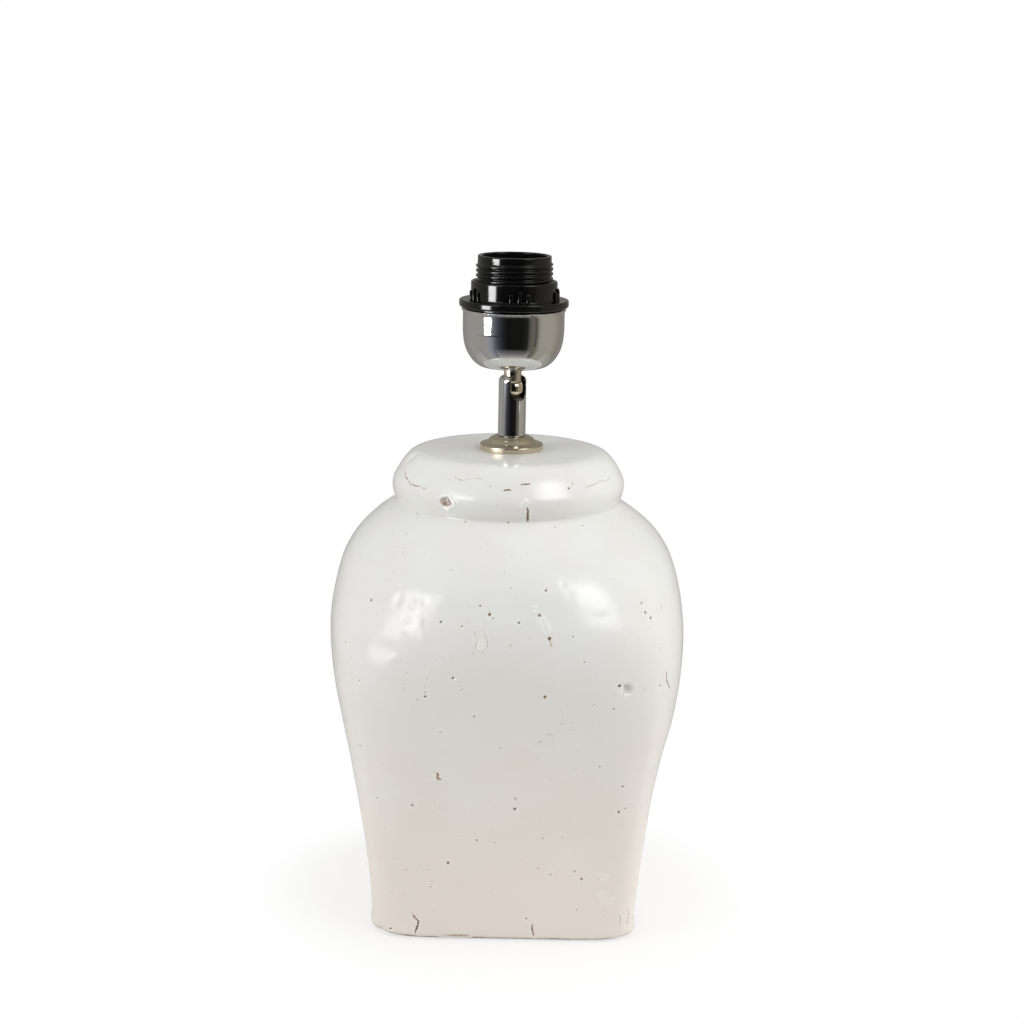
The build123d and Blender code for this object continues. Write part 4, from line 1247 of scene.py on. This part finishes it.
# %% Floor and world
floor_radius, shadow_to, white_from, mirrored_to = 0.75, 0.085, 0.145, 0.5
room_light = 0.46
select_only()
bpy.ops.mesh.primitive_circle_add(vertices=96, radius=floor_radius, fill_type="NGON")
floor = bpy.context.object
floor.name = "pale_floor"
floor_paint, floor_shader, place = new_material("pale_floor_paper")
floor_shader.inputs["Base Color"].default_value = linear("F2F1EF")
floor_shader.inputs["Roughness"].default_value = 0.9
floor_shader.inputs["Specular IOR Level"].default_value = 0.0
away = add_node(floor_paint, "VectorMath", {0: place}, operation="LENGTH").outputs["Value"]
path = add_node(floor_paint, "LightPath").outputs
fade = share_of(floor_paint, away, shadow_to, white_from, interpolation_type="SMOOTHSTEP")
white = calculate(floor_paint, "MULTIPLY", between(floor_paint, fade, 0.7, 1.0), path["Is Camera Ray"])
glow = add_node(floor_paint, "Emission", {"Color": grey(1), "Strength": 1.0}).outputs[0]
lit = blend_shaders(floor_paint, white, floor_shader.outputs[0], glow)
edge = ramp(
    floor_paint, calculate(floor_paint, "DIVIDE", away, mirrored_to), (0.2, grey(0)), (0.28, grey(0.07)),
    (0.4, grey(0.47)), (0.52, grey(0.68)), (0.65, grey(0.79)), (0.9, grey(0.93)), (1.0, grey(1)),
)
gone = calculate(floor_paint, "MULTIPLY", edge, path["Is Glossy Ray"])
clear = add_node(floor_paint, "BsdfTransparent").outputs[0]
floor_output = next(n for n in floor_paint.node_tree.nodes if n.type == "OUTPUT_MATERIAL")
link(floor_paint, blend_shaders(floor_paint, gone, lit, clear), floor_output, "Surface")
floor.data.materials.append(floor_paint)

world = bpy.data.worlds.new("studio_world")
bpy.context.scene.world = world
world.use_nodes = True
world.node_tree.nodes.clear()
path = add_node(world, "LightPath").outputs
looked = calculate(world, "MAXIMUM", path["Is Camera Ray"], path["Is Glossy Ray"])
looked = calculate(world, "MAXIMUM", looked, path["Is Transmission Ray"])
strength = between(world, looked, room_light, 1.0)
background = add_node(world, "Background", {"Color": grey(1), "Strength": strength})
add_node(world, "OutputWorld", {"Surface": background.outputs[0]})
print("floor and world ready")


# %% [markdown]
# Chrome is only as good as the room it mirrors. The photograph's cup shows a dark room behind the camera, beige
# walls at the sides, a tall bright soft box on the left and a wide, weaker one on the right. Cards stand for
# them: only mirror rays see them, so they shape reflections and leave the light on the lamp plain.

# %% Cards that the mirrors see
card_centre = 0.2


def on_sphere(azimuth, elevation, distance, centre):
    """A place round the lamp base, from angles in degrees: azimuth 0 is the front and right is positive."""
    turn, rise = math.radians(azimuth), math.radians(elevation)
    out = distance * math.cos(rise)
    return Vector((out * math.sin(turn), -out * math.cos(turn), centre + distance * math.sin(rise)))


def card(name, strength, azimuths, elevations, distance, colours, soft=(0, 0, 0, 0), oval=False):
    """A curved card on a sphere round the lamp. It has one colour, or colour stops that run along the azimuth.
    Soft gives the share of its width or height over which each side fades out: left, right, low and high. An
    oval card is drawn in towards its low and high ends."""
    select_only()
    bpy.ops.mesh.primitive_grid_add(x_subdivisions=72, y_subdivisions=16, size=1, calc_uvs=True)
    piece = bpy.context.object
    piece.name = name
    left, width = azimuths[0], azimuths[1] - azimuths[0]
    low, height = elevations[0], elevations[1] - elevations[0]
    for vertex in piece.data.vertices:
        if oval:
            vertex.co.x *= math.sqrt(max(0.0004, 1 - (2 * vertex.co.y) ** 2))
        place = left + width * (vertex.co.x + 0.5), low + height * (vertex.co.y + 0.5)
        vertex.co = on_sphere(*place, distance, card_centre)
    paint = bpy.data.materials.new(name + "_paint")
    paint.use_nodes = True
    paint.node_tree.nodes.clear()
    output = add_node(paint, "OutputMaterial")
    spot = add_node(paint, "TexCoord").outputs["UV"]
    across, up = add_node(paint, "SeparateXYZ", {"Vector": spot}).outputs[:2]
    stops = [(azimuth, colours) for azimuth in azimuths] if isinstance(colours, str) else colours
    shade = ramp(paint, across, *[((azimuth - left) / width, linear(colour)) for azimuth, colour in stops])
    surface = add_node(paint, "Emission", {"Color": shade, "Strength": strength}).outputs[0]
    share = None
    for axis, near, edge in ((across, 0, soft[0]), (across, 1, soft[1]), (up, 0, soft[2]), (up, 1, soft[3])):
        if edge > 0:
            side = share_of(paint, axis, near, abs(near - edge), interpolation_type="SMOOTHSTEP")
            share = side if share is None else calculate(paint, "MULTIPLY", share, side)
    if share is not None:
        surface = blend_shaders(paint, share, add_node(paint, "BsdfTransparent").outputs[0], surface)
    link(paint, surface, output, "Surface")
    piece.data.materials.append(paint)
    for kind in ("camera", "diffuse", "transmission", "volume_scatter", "shadow"):
        setattr(piece, "visible_" + kind, False)


room_shades = [
    (-180, "93928E"), (-148, "9A9995"), (-120, "AEADA8"), (-75, "ADABA6"), (-62, "ACACAE"), (-52, "9A9AA4"),
    (-44, "70707A"), (-37, "525260"), (-30, "3C3C42"), (-22, "28282C"), (-14, "1A1A1A"), (20, "1B1B19"),
    (33, "2A2A28"), (37, "5C5A54"), (45, "77746A"), (50, "6E6B62"), (53, "58564E"), (58, "8C887E"),
    (64, "AFABA0"), (76, "B6B1A5"), (105, "B2ADA1"), (117, "A5A098"), (131, "9A958D"), (180, "93928E"),
]
card("studio_room", 1.0, (-180, 180), (-58, 52), 3.4, room_shades)
card("studio_ceiling", 1.0, (-180, 180), (51, 90), 3.4, "A6A6A1")
card("ceiling_over_camera", 1.0, (-85, 85), (36, 52), 3.3, "A6A6A1", (.12, .12, .3, 0))
card("left_soft_box", 3.2, (-68, -30), (9, 35), 2.4, "FFFFFF", (.12, .12, .15, .12))
card("left_bulb_glow", 6.5, (-56, -40), (14, 27), 2.35, "FFFFFF", (.3, .3, .3, .3))
card("left_low_strip", 30.0, (-72, -48), (-5.6, 2), 2.3, "FFFFFF", oval=True)
card("left_low_glow", 1.3, (-72, -56), (-8.4, -4.5), 2.32, "EEEEFF", (.3, .3, .8, 0))
card("right_soft_box", 4.4, (24, 74), (14, 56), 2.4, "FFFFFF", (.35, .35, .35, .35))
card("right_bulb_glow", 5.5, (42, 58), (30, 46), 2.35, "FFFFFF", (.35, .35, .35, .35))
low_room = [
    (-92, "A6A6A4"), (-67, "9A9AA0"), (-57, "6E6E74"), (-48, "505056"), (-39, "34343A"), (-30, "26262A"),
]
card("low_room_left", 1.0, (-92, -30), (-13, -6.0), 3.3, low_room, (.1, .1, 0, .45))
low_shades = [(-95, "A6A5A2"), (-62, "ACACAE"), (-52, "9A9AA4"), (-40, "5C5C66")]
card("left_flag", 1.0, (-95, -40), (-40, -2.3), 0.25, low_shades, (.1, .1, 0, 0))
low_shades = [(40, "6E6B62"), (53, "7A766C"), (64, "AFABA0"), (95, "B2ADA1")]
card("right_flag", 1.0, (40, 95), (-40, -2.3), 0.25, low_shades, (.1, .1, 0, 0))
print("cards ready")


# %% [markdown]
# The light itself: a soft box on each side where the photograph's highlights say they were, a weak one above,
# and two large ones for the light that the room's side walls throw back. Mirrors don't see these lamps, because
# the cards above already stand for them.

# %% Lamps
aim_level = 0.17


def soft_lamp(name, azimuth, elevation, distance, size, watts):
    """An oblong lamp on a sphere round the lamp base, pointed at its middle."""
    place = on_sphere(azimuth, elevation, distance, aim_level)
    turn = (Vector((0, 0, aim_level)) - place).to_track_quat("-Z", "Y")
    bpy.ops.object.light_add(type="AREA", location=place, rotation=turn.to_euler())
    lamp = bpy.context.object
    lamp.name = name
    lamp.data.shape = "RECTANGLE"
    lamp.data.size, lamp.data.size_y = size
    lamp.data.energy = watts
    lamp.visible_camera = lamp.visible_glossy = False


soft_lamp("left_lamp", -64, 26, 2.4, (0.9, 1.3), 17.5)
soft_lamp("right_lamp", 56, 36, 2.4, (1.6, 1.4), 15.5)
soft_lamp("top_lamp", 0, 78, 2.2, (1.6, 1.6), 6.5)
soft_lamp("left_wall_bounce", -100, 14, 2.2, (1.6, 1.6), 8)
soft_lamp("right_wall_bounce", 100, 26, 2.2, (1.6, 1.6), 19)
bpy.context.scene.view_settings.view_transform = "Standard"
print("lamps ready")
